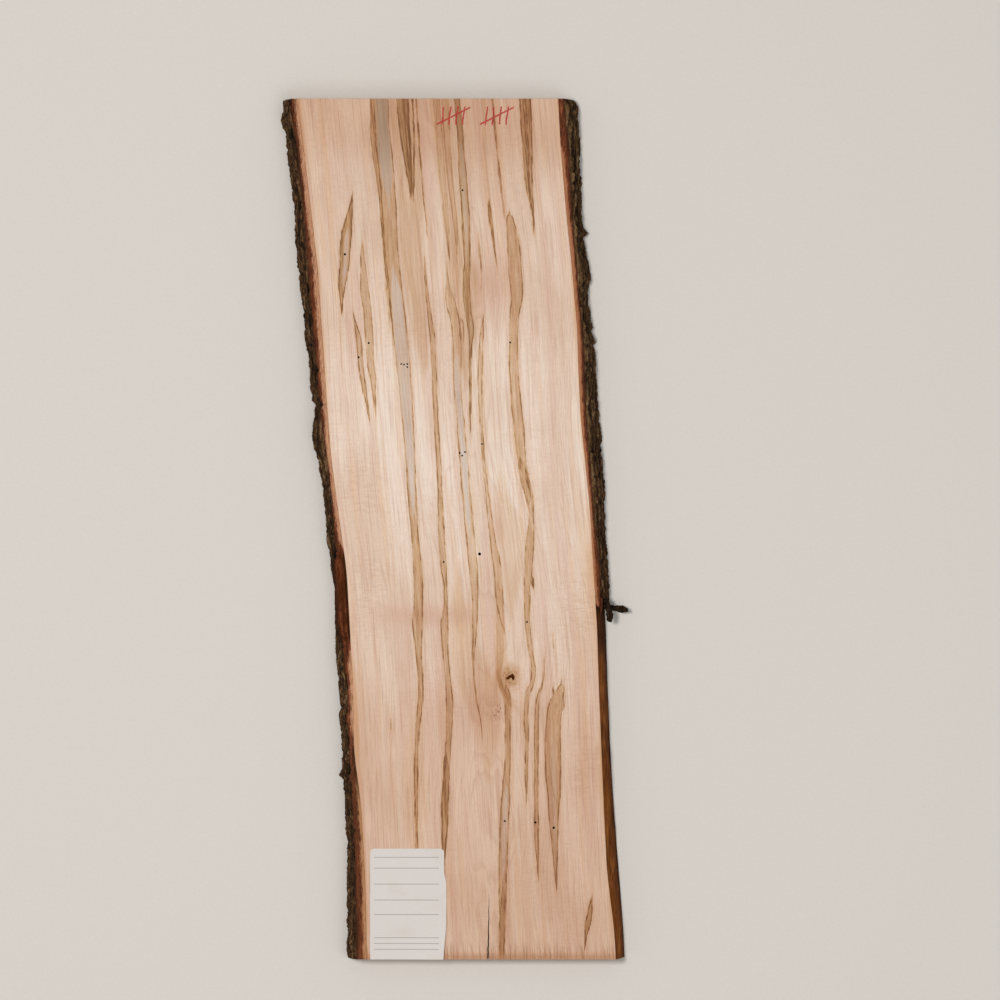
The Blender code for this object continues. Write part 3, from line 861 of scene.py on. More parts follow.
def growth_rings(s, place, grain):
    """Dark late wood of the rings round the tree's heart, which rise round the knot."""
    across, y, z = s.parts(grain)
    only_along = s.join(0.0, y, 0.0)
    heart = s.swing(30.0, only_along, 400.0, 400.0, detail=1.0) + HEART_ACROSS
    rise = s.swing(16.0, only_along, 230.0, 230.0, detail=1.0, shift=5.0) + HEART_LEVEL
    radius = s.vector("LENGTH", s.join(across - heart, z - rise, 0.0), output="Value")
    warp = s.swing(10.0, grain, 38.0, 240.0, detail=3.0)
    swell = gaussian(s, place, (*KNOT_PLACE, THICKNESS), (12.0, 22.0, SPOT_DEPTH))
    radius = radius + (warp + swell * KNOT_SWELL)
    years = s.swing(2.2, s.join(radius, 0.0, 0.0), 9.0, 9.0, shift=3.0)
    ring = s.math("FRACT", radius / RING_WIDTH + years)
    late = s.fade(ring, 0.4, 0.92) * s.fade(ring, 1.0, 0.95)
    patchy = s.noise(s.join(radius, y, z), 6.0, 190.0, 190.0, shift=11.0)
    return late * s.fade(patchy, 0.35, 0.65, 0.1, 1.0)


def bare_tone(s, place, grain, late, ripple):
    """Colour of the maple where nothing has stained it."""
    cloud = s.noise(grain, 60.0, 150.0, detail=3.0, shift=31.0)
    bands = s.noise(grain, 13.0, 420.0, detail=3.0, roughness=0.55, shift=35.0)
    golden = s.noise(grain, 8.0, 300.0, shift=38.0)
    strands = s.noise(grain, 2.6, 110.0, detail=3.0, roughness=0.6, shift=3.0)
    anywhere = s.fade(s.noise(grain, 70.0, 110.0, detail=1.0, shift=2.0), 0.42, 0.66, 0.05, 0.4)
    rippled = s.fade(ripple, 0.44, 0.66) * most(anywhere, spots(s, place, RIPPLES))
    blush = spots(s, place, BLUSHES) * s.fade(cloud, 0.2, 0.5, 0.6, 1.0)
    tone = s.mix(s.fade(cloud, 0.35, 0.65), rgb(231, 208, 190), rgb(220, 192, 170))
    return s.over(tone, (s.fade(bands, 0.5, 0.66, 0.0, 0.5), 214, 178, 158),
                  (s.fade(bands, 0.48, 0.34, 0.0, 0.45), 232, 214, 196),
                  (s.fade(golden, 0.52, 0.68, 0.0, 0.4), 222, 184, 146),
                  (s.fade(strands, 0.5, 0.68, 0.0, 0.45), 192, 150, 124),
                  (late * 0.24, 184, 136, 104), (rippled * 0.28, 190, 142, 106),
                  (blush * 0.5, 202, 156, 130))


def stained(s, tone, x, grain, along, ends):
    """The tone with the stains over it. They wander from their places with depth."""
    y, z = s.parts(grain)[1:]
    depth = 1.0 - z / THICKNESS
    fray = s.swing(1.7, grain, 2.6, 36.0, shift=41.0) + s.swing(0.7, grain, 0.9, 8.0, detail=1.0, shift=51.0)
    drift = s.swing(60.0, s.join(0.0, y, z), 60.0, 320.0, shift=61.0)
    share = (x + fray + drift * depth - WINDOW_LEFT) / WINDOW_WIDTH
    shares = s.join(share, share, share)
    along = along + depth * 0.05
    fill, line, core, deepest = stain_masks(s, along, shares)
    clouds = cloud_mask(s, along, shares)

    uneven = s.noise(grain, 1.8, 60.0, detail=3.0, roughness=0.65, shift=71.0)
    broken = s.noise(grain, 5.0, 24.0, detail=3.0, roughness=0.65, shift=81.0)
    halo = s.fade(deepest, -7.0, 2.0) * s.fade(broken, 0.3, 0.6, 0.03, 0.17)
    fill = fill * (ends * 0.2 + 0.8) * s.fade(uneven, 0.3, 0.65, 0.6, 1.15)
    inner = s.noise(s.join(deepest, y, z), 1.3, 45.0, 60.0, shift=77.0)
    inner = s.fade(inner, 0.5, 0.64) * s.fade(deepest, 0.6, 1.6)
    line = line * s.fade(broken, 0.36, 0.62, 0.18, 0.86)
    core = core * s.fade(uneven, 0.3, 0.62, 0.55, 1.0)
    dye = fill * 0.76 + most(halo, clouds * s.fade(uneven, 0.3, 0.65, 0.2, 0.48))
    dye = inner * 0.16 + dye + line
    dye = dye * s.math("MULTIPLY_ADD", core, -1.25, 1.0, clamp=True)
    grey = s.mix(s.fade(y, 380.0, 560.0), GREY_MIDDLE, GREY_HEAD)
    return s.tint(dyed(s, tone, dye), grey, core), fill


def knotted(s, tone, place):
    """The tone with the knot's brown rings over it."""
    from_knot = place - (*KNOT_PLACE, THICKNESS)
    x, y, z = s.parts(from_knot)
    away = s.vector("LENGTH", from_knot / (7.0, 8.5, 30.0), output="Value")
    away = away + s.swing(0.8, place, 5.0, 7.0, shift=91.0)
    halo = s.fade(away, 3.0, 0.5, 0.0, 0.55)
    broken = s.noise(place, 4.0, 4.0, shift=97.0)
    rings = s.fade(s.math("PINGPONG", away * 1.9, 0.5), 0.2, 0.42)
    rings = rings * s.fade(broken, 0.4, 0.6, 0.1, 0.5) * s.fade(away, 2.4, 0.7)
    # The grain bends round the knot's left side in a brown arc
    arc = x - (s.math("POWER", y - 10.0, 2.0) * 0.0075 - 15.0)
    bent = gaussian(s, s.join(arc, y, 0.0), (0.0, -12.0, 0.0), (3.8, 18.0, 1.0)) * 0.72
    tone = dyed(s, tone, (most(halo, bent) + rings) * s.fade(z, -14.0, -2.0))
    specks = s.noise(place, 1.3, 5.0, detail=1.0, shift=95.0)
    flecked = gaussian(s, place, (61.0, -250.0, THICKNESS), (6.0, 10.0, 20.0))
    return s.over(tone, (s.fade(specks, 0.56, 0.66) * flecked, 128, 72, 50))


def maple():
    """Sawn maple: rings round the heart, fine grain, ripple, stains, the knot and the crayon."""
    s = Surface("maple_wood")
    place = s.place()
    x, y, z = s.parts(place)
    along = (y - FOOT) / LENGTH
    edges = [(end, smooth(LEFT_EDGE, end), smooth(RIGHT_EDGE, end))
             for end in (594, 357, 109, -139, -388, -594)]
    middles = [(end, (right + left) / 2) for end, left, right in edges]
    halves = [(end, (right - left) / 2) for end, left, right in edges]
    across = x - curve_along(s, along, middles, WINDOW_LEFT, WINDOW_WIDTH)
    inward = curve_along(s, along, halves, 0.0, WINDOW_WIDTH) - abs(across)
    grain = s.join(across, y, z)

    late = growth_rings(s, place, grain)
    fine = s.noise(grain, 0.9, 30.0, detail=3.0, roughness=0.6)
    flecks = s.noise(grain, 0.8, 5.0, detail=1.0, shift=8.0)
    sway = s.swing(2.4, grain, 16.0, 60.0, shift=21.0)
    ripple = s.noise(s.join(across, y + sway, z), 13.0, 2.7, shift=17.0)

    tone = bare_tone(s, place, grain, late, ripple)
    ends = curve_along(s, along, END_TONE, 0.0, 1.0)
    tone, fill = stained(s, tone, x, grain, along, ends)
    rim = s.noise(grain, 5.0, 90.0, 40.0, detail=3.0, shift=131.0)
    rim = s.fade(inward, 5.0, 0.0) * s.fade(rim, 0.35, 0.6, 0.1, 0.6)
    tone = s.over(knotted(s, tone, place), (rim, 206, 154, 98))
    tone = s.tint(tone, s.mix(ends, MIDDLE_TINT, END_TINT))

    # The foot is weathered orange-brown, and the ends of the grain are darker
    streaks = s.noise(grain, 2.2, 60.0, detail=3.0, roughness=0.6, shift=121.0)
    foot = s.fade(y + s.around(streaks, 5.0), -582.0, -591.0) * s.fade(streaks, 0.3, 0.6, 0.45, 0.8)
    wet = s.fade(streaks, 0.5, 0.59) * s.fade(y, -566.0, -588.0, 0.0, 0.75)
    end = s.fade(abs(y), HEAD - 0.6, HEAD - 0.2)

    # Crayon on the show face
    wobble = s.swing(1.6, place, 14.0, 14.0, shift=101.0)
    crayon = most(*[crayon_tally(s, x + wobble, y + wobble, start) for start in TALLY_STARTS])
    waxy = s.fade(s.noise(place, 0.9, 1.6, shift=111.0), 0.34, 0.5, 0.6, 1.0)
    crayon = crayon * waxy * s.fade(z, THICKNESS - 0.5, THICKNESS - 0.1)
    tone = s.over(tone, (foot, 168, 116, 76), (wet, 146, 96, 60), (end * 0.45, 168, 124, 88),
                  (end * late * 0.5, 134, 92, 60), (crayon, 164, 28, 18))

    # Fine light and dark of the grain over all of it
    tone = s.shaded(tone, s.around(fine, 0.2) + s.around(flecks, 0.12))
    s.bump(fine * 0.12 + ripple * 0.1, 0.6)
    return s.finish(tone, fine * 0.16 + (fill * 0.06 + 0.48), 0.3)


def live_edge():
    """The bare live edge: brown skin of the wood with ridges along it, with painted shade towards the back
    face.
    """
    s = Surface("bare_live_edge")
    place = s.place()
    y, z = s.parts(place)[1:]
    ridges = s.noise(place, 3.0, 60.0, detail=4.0, roughness=0.65)
    blotch = s.noise(place, 14.0, 30.0, detail=3.0, shift=7.0)
    specks = s.noise(place, 1.2, 4.0, detail=3.0, roughness=0.7, shift=13.0)
    tone = s.ramp(ridges * 0.65 + blotch * 0.35, [
        (0.3, rgb(64, 31, 12)), (0.44, rgb(108, 59, 24)), (0.56, rgb(144, 86, 38)), (0.7, rgb(178, 118, 64))])
    # Towards the back face the bare edge is painted darker, nearly black near the bottom: painted shade.
    low = z + s.around(blotch, 12.0)
    dark = s.fade(y, -200.0, -150.0) * s.fade(blotch, 0.35, 0.6, 0.6, 0.92)
    tone = s.over(tone, (s.fade(low, 28.0, 14.0, 0.0, 0.65), 84, 46, 24),
                  (s.fade(low, 11.0, 3.0, 0.0, 0.8), 44, 24, 12),
                  (s.fade(z, THICKNESS - 3.0, THICKNESS - 1.0, 0.0, 0.6), 60, 34, 20), (dark, 50, 25, 12))
    s.bump(ridges * 0.9 + specks * 0.35, 0.8)
    return s.finish(s.shaded(tone, s.around(specks, 0.35)), s.fade(specks, 0.3, 0.7, 0.74, 0.88), 0.03)


def hollow_wall(name, size, dark, light):
    """The dark wall of a hollow, in spots of the given size: its stain, darkened further as painted shade."""
    s = Surface(name)
    grain = s.noise(s.place(), size, size, 2.0)
    s.bump(grain, 0.4)
    return s.finish(s.ramp(grain, [(0.35, dark), (0.65, light)]), s.fade(grain, 0.3, 0.7, 0.8, 0.95), 0.0)


def bark():
    """Rough bark: red-brown inner layers beside the wood, grey-brown plates outside."""
    s = Surface("maple_bark")
    place = s.place()
    x, y = s.parts(place)[:2]
    layer, relief, pale = s.value("layer"), s.value("relief"), s.value("pale")
    coarse = s.noise(place, 6.0, 22.0, detail=4.0, roughness=0.6)
    fibres = s.noise(place, 1.1, 12.0, detail=3.0, roughness=0.65, shift=5.0)
    fine = s.noise(place, 1.4, 3.2, detail=4.0, roughness=0.7, shift=9.0)
    crumbs = s.noise(place, 2.4, 7.0, roughness=0.6, shift=25.0)
    on_left = s.fade(x, 10.0, -10.0)

    # The outer plates, darker on the left and towards the foot, with a little lichen. Their colour follows
    # the relief, lighter on the raised scales and darker in the furrows: partly the bark's own colour, partly
    # painted highlight and painted shade.
    streaks = s.swing(1.1, place, 3.2, 38.0, roughness=0.6, shift=33.0)
    relief_shading_and_mottle = relief * 0.5 + 0.08 + (s.around(fine, 0.5) + s.around(crumbs, 0.4) + streaks)
    relief_shading_and_mottle = relief_shading_and_mottle * 0.5 + 0.5
    darker = s.ramp(relief_shading_and_mottle, [
        (0.15, rgb(16, 11, 7)), (0.4, rgb(52, 35, 22)), (0.6, rgb(88, 62, 39)), (0.85, rgb(138, 110, 80))])
    browner = s.ramp(relief_shading_and_mottle, [
        (0.12, rgb(22, 15, 9)), (0.4, rgb(60, 42, 26)), (0.6, rgb(94, 69, 44)), (0.85, rgb(136, 110, 80))])
    to_foot = s.fade(y + s.around(coarse, 200.0), 260.0, 40.0)
    outer = s.mix(most(on_left, to_foot), browner, darker)
    lichen = s.fade(s.noise(place, 2.6, 4.5, detail=3.0, roughness=0.6, shift=15.0), 0.62, 0.7)
    lichen = lichen * s.fade(s.noise(place, 30.0, 60.0, detail=1.0, shift=19.0), 0.5, 0.62)
    outer = s.over(outer, (lichen * 0.5, 140, 130, 110))

    # The inner bark, red with a tan band beside the wood, and darker where the bark has flaked
    red = s.ramp(fibres * 0.65 + coarse * 0.35, [
        (0.32, rgb(40, 21, 13)), (0.48, rgb(98, 52, 32)), (0.66, rgb(162, 94, 60))])
    tan = s.ramp(fibres, [(0.3, rgb(150, 98, 70)), (0.7, rgb(206, 158, 124))])
    at_foot = s.fade(y, -270.0, -310.0) * on_left
    gone = s.fade(y, -15.0, -45.0) * s.fade(y, -170.0, -150.0) * on_left
    red = s.over(red, (at_foot * s.fade(y, -450.0, -400.0, 0.25, 0.6), 82, 50, 32),
                 (gone * s.fade(coarse, 0.35, 0.62, 0.95, 0.45), 74, 36, 15))
    tan = s.over(tan, (s.fade(x, -10.0, 10.0, 0.0, 0.7), 158, 98, 64), (at_foot * 0.6, 164, 116, 74))
    edge = s.around(coarse, 0.35)
    uneven = edge * 0.6 + s.around(fibres, 0.3)
    inner = s.mix(s.fade(pale - layer - gone + uneven, -0.1, 0.15), red, tan)
    seam = s.fade(layer, 0.3, 0.08) * s.fade(y, -390.0, -350.0) * at_foot
    blackened = s.fade(layer + s.around(fibres, 0.5), 0.6, 1.0, 0.0, 0.75)
    inner = s.over(inner, (seam * 0.7, 46, 26, 14), (blackened, 34, 21, 14))
    tone = s.mix(s.fade(layer + edge, 0.88, 1.08), inner, outer)
    s.bump(fine * 1.2 + crumbs * 0.9, 0.9)
    return s.finish(tone, s.fade(fine, 0.3, 0.7, 0.8, 0.95), 0.05)


def paper():
    """A blank printed form: white paper with grey ruled lines and a little dust."""
    s = Surface("label_paper")
    place = s.place()
    x, y = s.parts(place)[:2]
    fibres = s.noise(place, 1.5, 1.5, detail=4.0, roughness=0.7)
    smudge = s.noise(place, 38.0, 30.0, detail=3.0, shift=4.0)
    ink = 0.0
    for rule in TAG_RULES:
        ink = most(ink, s.fade(abs(y - (FOOT + rule)), 0.62, 0.34))
    left, right = [TAG_LEFT + end for end in TAG_RULE_ENDS]
    ink = ink * s.fade(x, left, left + 0.4) * s.fade(x, right, right - 0.4)
    tone = s.mix(s.fade(fibres, 0.3, 0.7), rgb(199, 192, 187), rgb(207, 200, 195))
    tone = s.over(tone, (s.fade(smudge, 0.5, 0.75, 0.0, 0.35), 196, 186, 172), (ink * 0.6, 92, 88, 84))
    s.bump(fibres * 0.03 + smudge * 0.25, 0.6)
    return s.finish(tone, s.fade(fibres, 0.3, 0.7, 0.5, 0.62), 0.4)


def studio_floor():
    s = Surface("studio_floor")
    grain = s.noise(s.place(), 3.0, 3.0, detail=3.0)
    tone = s.mix(s.fade(grain, 0.3, 0.7), rgb(205, 200, 194), rgb(208, 203, 197))
    return s.finish(tone, 0.8, 0.2)


def bare_relief(along, level):
    """How far the bare live edge stands out below the torn bark."""
    bare = ease(along, TEAR + 4.0, TEAR - 10.0)
    ridge = jitter(along / 70.0, level / 6.0, 3.0)
    small = jitter(along / 16.0, level / 2.5, 9.0)
    dimple = jitter(along / 30.0, level / 20.0, 15.0)
    return bare * (0.9 * ridge + 0.35 * small + 1.1 * dimple - 0.3)


def wood_ring(along):
    """One cross-section of the wood."""
    left, right = Edge(LEFT, along), Edge(RIGHT, along)
    ring = [(left.at(level), along, level) for level in WOOD_LEVELS]
    for level in reversed(WOOD_LEVELS):
        inset = ease(level, THICKNESS, THICKNESS - 2.0) * ease(level, 0.0, 2.0)
        ring.append((right.at(level) + inset * bare_relief(along, level), along, level))
    return ring


def worm_holes(mesh):
    """Slanting burrows, each with an uneven outline."""
    for number, (x, y, diameter) in enumerate(WORM_HOLES):
        slant = Vector((noise.cell(Vector((number, 0.5, 0.5))) - 0.5, 0.4, 0.0)) * 3.0
        rings = []
        for depth in (-2.0, 0.0, 0.5, 2.0, 5.0, 8.5, WORM_DEPTH):
            flare = 1.0 + 0.25 * ease(depth, 0.6, 0.0)
            narrow = 1.0 - 0.5 * ease(depth, WORM_DEPTH - 3.0, WORM_DEPTH)
            ring = []
            for k in range(WORM_SIDES):
                turn = math.tau * k / WORM_SIDES
                rough = jitter(math.cos(turn), math.sin(turn), number + depth / 4)
                reach = diameter / 2 * flare * narrow * (1.0 + 0.22 * rough)
                shift = slant * max(depth, 0.0) / WORM_DEPTH
                ring.append((x + shift.x + reach * math.cos(turn),
                             y + shift.y + reach * math.sin(turn), THICKNESS - depth))
            rings.append(ring)
        loft(mesh, rings)


def drying_crack(mesh):
    """A split that is a V across the slab and opens towards the foot end."""
    rings = []
    for step in range(CRACK_STEPS + 1):
        share = step / CRACK_STEPS
        along = CRACK_TIP[1] + share * (CRACK_MOUTH[1] - CRACK_TIP[1])
        across = CRACK_TIP[0] + share * (CRACK_MOUTH[0] - CRACK_TIP[0])
        across += 0.9 * jitter(along / 9.0, 2.0, 5.0)
        half = CRACK_WIDTH / 2 * (0.06 + 0.94 * share ** 0.8)
        bottom = THICKNESS - 1.0 - (CRACK_DEPTH - 1.0) * share ** 0.7
        above = THICKNESS + 1.0
        rings.append([(across - half, along, above), (across + half, along, above),
                      (across + half * 0.9, along, THICKNESS - 0.8), (across, along, bottom),
                      (across - half * 0.9, along, THICKNESS - 0.8)])
    loft(mesh, rings)


def knot_pit(mesh):
    """The hollow of the knot: two dents that meet at an angle, with an uneven wall."""
    for (across, along), radii, turn in KNOT_DENTS:
        made = bmesh.ops.create_icosphere(mesh, subdivisions=3, radius=1.0)
        cos, sin = math.cos(math.radians(turn)), math.sin(math.radians(turn))
        for vert in made["verts"]:
            rough = 1.0 + 0.4 * noise.noise(vert.co * 1.9 + Vector((3.0 + across, 1.0, 7.0)))
            x, y, z = [part * radius * rough for part, radius in zip(vert.co, radii)]
            vert.co = (KNOT_PLACE[0] + across + x * cos - y * sin,
                       KNOT_PLACE[1] + along + x * sin + y * cos, THICKNESS + z)


def join_flats(mesh, level):
    """Make one face of all the faces that lie flat at a level."""
    flat = [face for face in mesh.faces
            if all(abs(vert.co.z - level) < 1e-4 for vert in face.verts)]
    bmesh.ops.dissolve_faces(mesh, faces=flat)


# Which surface of the wood a face has, and the least slant of a face of the live edge
SAWN, LIVE_EDGE, HOLE, PIT = range(4)
LEAST_SLANT = 0.5


def make_wood():
    # The walls of the hollows are their stain with painted shade: nearly black in the worm holes, dark brown
    # in the knot's pit and the crack.
    surfaces = (maple(), live_edge(),
                hollow_wall("worm_hole_stain_and_painted_shade", 0.5, rgb(14, 8, 5), rgb(42, 24, 13)),
                hollow_wall("knot_and_crack_stain_and_painted_shade", 2.6, rgb(40, 17, 5), rgb(124, 68, 24)))
    mesh = bmesh.new()
    loft(mesh, [wood_ring(HEAD - LENGTH * k / WOOD_STEPS) for k in range(WOOD_STEPS + 1)])
    join_flats(mesh, 0.0)
    join_flats(mesh, THICKNESS)
    bmesh.ops.recalc_face_normals(mesh, faces=mesh.faces)
    for face in mesh.faces:
        face.material_index = LIVE_EDGE if abs(face.normal.x) > LEAST_SLANT else SAWN
    solid = to_object("solid_wood", mesh, *surfaces)

    cuts = bmesh.new()
    for cut, surface in ((worm_holes, HOLE), (drying_crack, PIT), (knot_pit, PIT)):
        before = len(cuts.faces)
        cut(cuts)
        for face in list(cuts.faces)[before:]:
            face.material_index = surface
    cutter = to_object("hollows", cuts, *surfaces)
    step = solid.modifiers.new("hollows", "BOOLEAN")
    step.operation = "DIFFERENCE"
    step.solver = "EXACT"
    step.use_self = True
    step.object = cutter
    graph = bpy.context.evaluated_depsgraph_get()
    data = bpy.data.meshes.new_from_object(solid.evaluated_get(graph), depsgraph=graph)
    for old in (solid, cutter):
        bpy.data.objects.remove(old)
    data.shade_flat()
    wood = add_object("slab_wood", data)
    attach(wood, "root")
    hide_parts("wood")


def bark_section(side, along):
    """One cross-section of a bark strip: its points, and their layer, relief and pale band."""
    edge = Edge(side, along)
    outline, crevices, inner, pales = LINES[side][2:]
    gone = flaked(side, along)
    front = THICKNESS - FLAKE_DROP * gone
    thick = max(abs(straight(outline, along) - edge.at(0.0)), LEAST_BARK + 1.0)
    crevice = straight(crevices, along)
    inner_width = smooth(inner, along, 8.0)
    pale = smooth(pales, along, 8.0) / inner_width
    limit = cad_box[0 if side == LEFT else 1].x / MM
    show_edge = edge.at(THICKNESS)

    def outside(level):
        """Distance from the wood, relief and bareness of the outer surface."""
        relief = bark_relief(side, along, level)
        chips = bark_chips(side, along, level)
        wander = jitter(along / 22.0, level / 6.0, 43.0)
        bare = flaked(side, along + FLAKE_RAGGED * wander)
        calm = 1.0 - 0.75 * bare
        height = calm * (SCALE_LIFT * max(relief, 0.0) + FURROW_DEPTH * min(relief, 0.0)) - 0.6
        reach = thick + height + CHIP_DEPTH * chips
        return max(reach, LEAST_BARK), relief + 0.25 * chips, bare

    points, layers, reliefs = [], [], []

    def add(away, level, from_edge, relief):
        across = edge.at(level) + side * away
        across = max(across, limit) if side == LEFT else min(across, limit)
        points.append((across, along, level))
        layers.append(from_edge)
        reliefs.append(relief)

    for share in INNER_LEVELS:
        add(TOUCH_GAP, share * front, 0.1, 0.0)
    rim = outside(front)[0]
    for step in range(TOP_STEPS):
        share = step / (TOP_STEPS - 1)
        away = TOUCH_GAP + share * (rim - TOUCH_GAP)
        grain = jitter(along / 9.0, away / 1.6, 31.0 * side)
        pits = jitter(along / 3.5, away / 2.2, 37.0 * side)
        gap = math.exp(-((share - CREVICE_PLACE) / 0.11) ** 2) * (0.75 + 0.8 * grain)
        drop = crevice * max(gap, 0.0) + 0.55 * (grain + 0.5) + 0.5 * max(pits, 0.0)
        drop += 2.2 * ease(share, 0.72, 1.0) * (0.7 + pits) + 1.2 * gone * abs(pits + grain)
        drop *= ease(share, 0.0, 0.12)
        # In the crevice the relief value drops, which the bark's colour shows as painted shade.
        add(away, front - max(drop, 0.0), max(away / inner_width, 0.05), 0.3 * grain - 0.5 * gap)
    rim_level = points[-1][2]
    for step in range(1, OUTER_STEPS + 1):
        level = rim_level * (1.0 - step / OUTER_STEPS)
        away, relief, bare = outside(level)
        seen = abs(edge.at(level) + side * away - show_edge)
        layer = max(seen / inner_width, 1.25 - 0.9 * bare)
        add(away, level, layer, relief)
    low = points[-1][0]
    for step in range(1, UNDER_STEPS):
        share = 1.0 - step / UNDER_STEPS
        away = TOUCH_GAP + share * (abs(low - edge.at(0.0)) - TOUCH_GAP)
        add(away, 0.0, away / inner_width, 0.0)
    return points, layers, reliefs, [pale] * len(points)


def make_bark(side, end, surface):
    """One strip of bark from the head end to a place along the slab."""
    count = round((HEAD - end) / BARK_STEP)
    rings, layers, reliefs, pales = [], [], [], []
    for k in range(count + 1):
        along = HEAD + (end - HEAD) * k / count
        points, layer, relief, pale = bark_section(side, along)
        if side == RIGHT:
            late = ease(along, TEAR + TEAR_REACH, TEAR)
            points = [(x, y + late * torn(x, z), z) for x, y, z in points]
        rings.append(points)
        layers += layer
        reliefs += relief
        pales += pale
    mesh = bmesh.new()
    loft(mesh, rings, capped=(True, side == LEFT))
    if side == RIGHT:
        close_tear(mesh, len(rings[-1]))
        layers.append(0.9)
        reliefs.append(-0.2)
        pales.append(0.0)
        for number, path in enumerate(SPLINTERS):
            before = len(mesh.verts)
            splinter(mesh, path, number)
            added = len(mesh.verts) - before
            layers += [SPLINTER_LAYERS[number]] * added
            reliefs += [-1.0] * added
            pales += [0.0] * added
    made = to_object("bark_strip_left" if side == LEFT else "bark_strip_right", mesh, surface)
    keep_values(made.data, "layer", layers)
    keep_values(made.data, "relief", reliefs)
    keep_values(made.data, "pale", pales)
    made.data.shade_smooth()
    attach(made, "root")
    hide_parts("bark_left" if side == LEFT else "bark_right")


def torn(x, z):
    """How far the torn end of the bark reaches past the tear, at a place of its section."""
    coarse = jitter(x / 5.0, z / 9.0, 4.0)
    fine = jitter(x / 1.8, z / 2.6, 8.0)
    return -TEAR_RAGGED * (coarse + 0.45 * fine)


def close_tear(mesh, count):
    """Close the torn end with faces that run to a point inside it."""
    mesh.verts.ensure_lookup_table()
    loop = mesh.verts[-count:]
    middle = sum((vert.co for vert in loop), Vector()) / count
    centre = mesh.verts.new(middle + Vector((0.0, 5.0, 0.0)))
    for k in range(count):
        mesh.faces.new((loop[k], loop[(k + 1) % count], centre))


def splinter(mesh, path, seed):
    """A torn strip of bark along a path of (across, along, level, width, height)."""
    spans = [math.dist(a[:3], b[:3]) for a, b in zip(path, path[1:])]
    rings, steps = [], [max(round(span / SPLINTER_STEP), 1) for span in spans]
    samples = [(k, step / steps[k]) for k in range(len(spans)) for step in range(steps[k])]
    samples.append((len(spans) - 1, 1.0))
    for k, share in samples:
        here, there = path[k], path[k + 1]
        x, y, z, width, height = [a + share * (b - a) for a, b in zip(here, there)]
        heading = Vector((there[0] - here[0], there[1] - here[1], 0.0)).normalized()
        sideways = Vector((-heading.y, heading.x, 0.0))
        ring = []
        for turn in range(SPLINTER_SIDES):
            angle = math.tau * turn / SPLINTER_SIDES
            out = Vector((x, y, z)) + sideways * (width / 2 * math.cos(angle))
            out.z += height / 2 * math.sin(angle)
            rough = jitter(out.x / 3.2, out.y / 3.2, out.z / 2.0 + 9 * seed)
            rough += 0.7 * jitter(out.x / 1.3, out.y / 1.3, out.z / 1.3 + 9 * seed)
            fibre = jitter(math.cos(angle) * 2.6, math.sin(angle) * 2.6, seed + 0.5)
            reach = 0.32 * rough + 0.38 * fibre
            out += (out - Vector((x, y, z))) * reach
            ring.append(out)
        rings.append(ring)
    loft(mesh, rings)


def tag_point(column, row, above):
    """A point of the label, which has round upper corners and one corner that lifts."""
    down = TAG_HEIGHT * row / TAG_ROWS
    short = max(TAG_CORNER - down, 0.0)
    inset = TAG_CORNER - math.sqrt(TAG_CORNER ** 2 - short ** 2)
    width = TAG_WIDTH + smooth(TAG_EDGE, TAG_HEIGHT - down, 6.0) - 2 * inset
    across = inset + width * column / TAG_COLUMNS
    to_corner = max(across / TAG_WIDTH + down / TAG_HEIGHT - 1.25, 0.0) / 0.75
    lift = TAG_LIFT * to_corner ** 2
    curl = 0.25 * max(jitter(across / 40.0, down / 55.0, 2.0), 0.0)
    level = THICKNESS + TOUCH_GAP + lift + curl * min(1.0, TAG_LIFT - lift)
    return (TAG_LEFT + across, FOOT + TAG_HEIGHT - down, level + (TAG_THICKNESS if above else 0.0))


def make_tag():
    columns = range(TAG_COLUMNS + 1)
    rings = []
    for row in range(TAG_ROWS + 1):
        upper = [tag_point(column, row, True) for column in columns]
        lower = [tag_point(column, row, False) for column in reversed(columns)]
        rings.append(upper + lower)
    mesh = bmesh.new()
    loft(mesh, rings)
    tag = to_object("paper_label", mesh, paper())
    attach(tag, "root")
    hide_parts("paper_tag")


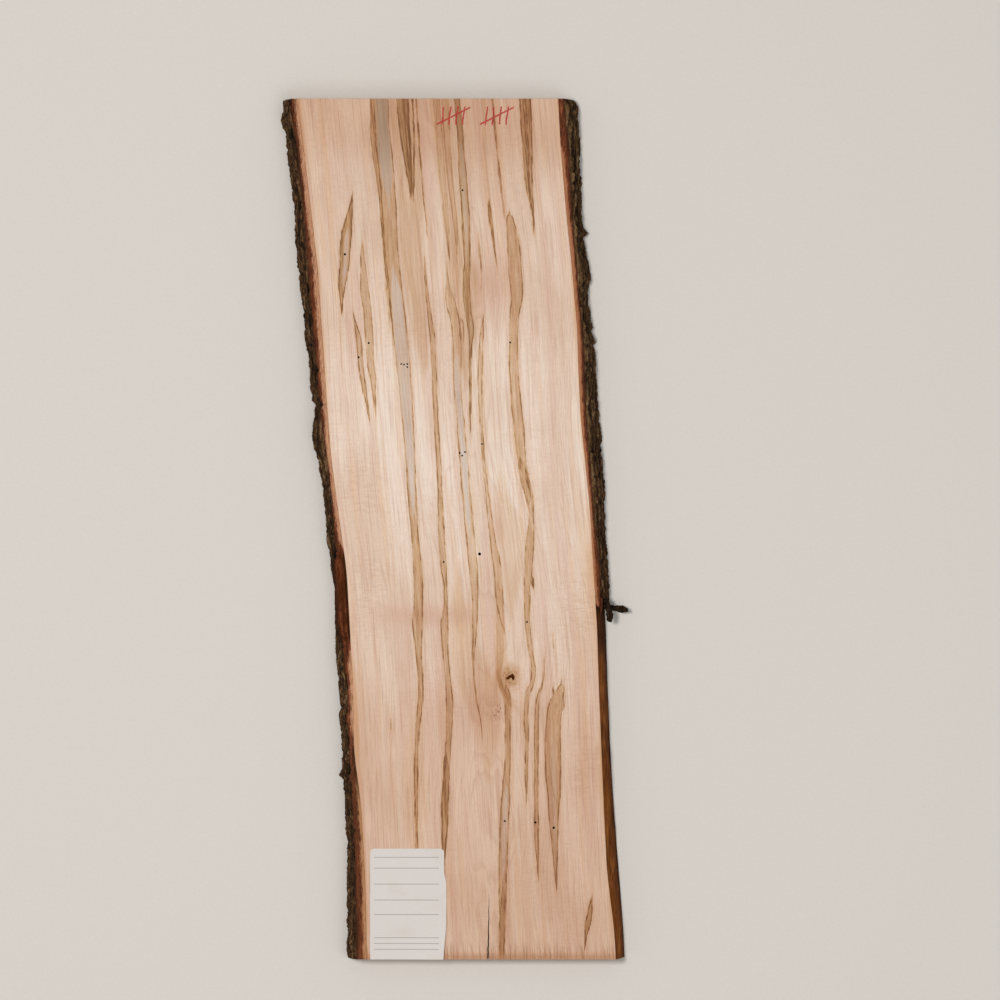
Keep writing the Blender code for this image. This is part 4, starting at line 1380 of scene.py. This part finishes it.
# The camera looks straight down, as the picture looks straight at the face. Its height and
# the width that it sees are in metres, and so are the places and sizes of the lamps.
CAMERA_HEIGHT = 8.0
PICTURE_SIZE = 1000.0
VIEW_WIDTH = PICTURE_SIZE * PIXEL * MM
SENSOR = 36.0
# Half the width of the floor, and how far it lies under the slab
FLOOR_HALF = 20000.0
FLOOR_DROP = 0.5


def make_camera():
    data = bpy.data.cameras.new("camera")
    data.sensor_width = SENSOR
    data.lens = SENSOR * CAMERA_HEIGHT / VIEW_WIDTH
    camera = add_object("camera", data)
    across = (PICTURE_SIZE / 2 - PICTURE_ZERO[0]) * PIXEL * MM
    along = (PICTURE_ZERO[1] - PICTURE_SIZE / 2) * PIXEL * MM
    camera.location = (across, along, THICKNESS * MM + CAMERA_HEIGHT)
    bpy.context.scene.camera = camera


def area_light(name, place, target, size, power, colour):
    data = bpy.data.lights.new(name, "AREA")
    data.shape = "DISK"
    data.size = size
    data.energy = power
    data.color = colour
    lamp = add_object(name, data)
    lamp.location = place
    lamp.rotation_euler = (Vector(target) - Vector(place)).to_track_quat("-Z", "Y").to_euler()
    lamp.visible_camera = False


def make_studio():
    mesh = bmesh.new()
    bmesh.ops.create_grid(mesh, x_segments=1, y_segments=1, size=FLOOR_HALF)
    bmesh.ops.translate(mesh, verts=mesh.verts, vec=(0.0, 0.0, -FLOOR_DROP))
    floor = to_object("floor", mesh, studio_floor())

    area_light("key", (-1.5, 0.5, 6.0), (0.0, 0.0, 0.0), 1.2, 225.0, (1.0, 0.985, 0.965))
    area_light("fill", (2.0, -1.5, 5.5), (0.0, 0.0, 0.0), 3.5, 75.0, (0.97, 0.98, 1.0))
    world = bpy.data.worlds.new("studio")
    world.use_nodes = True
    sky = world.node_tree.nodes["Background"]
    sky.inputs["Color"].default_value = (1.0, 0.99, 0.97, 1.0)
    sky.inputs["Strength"].default_value = 0.35
    bpy.context.scene.world = world
    bpy.context.scene.view_settings.view_transform = "Standard"


make_camera()
make_studio()
make_wood()
bark_surface = bark()
make_bark(LEFT, FOOT, bark_surface)
make_bark(RIGHT, TEAR, bark_surface)
make_tag()
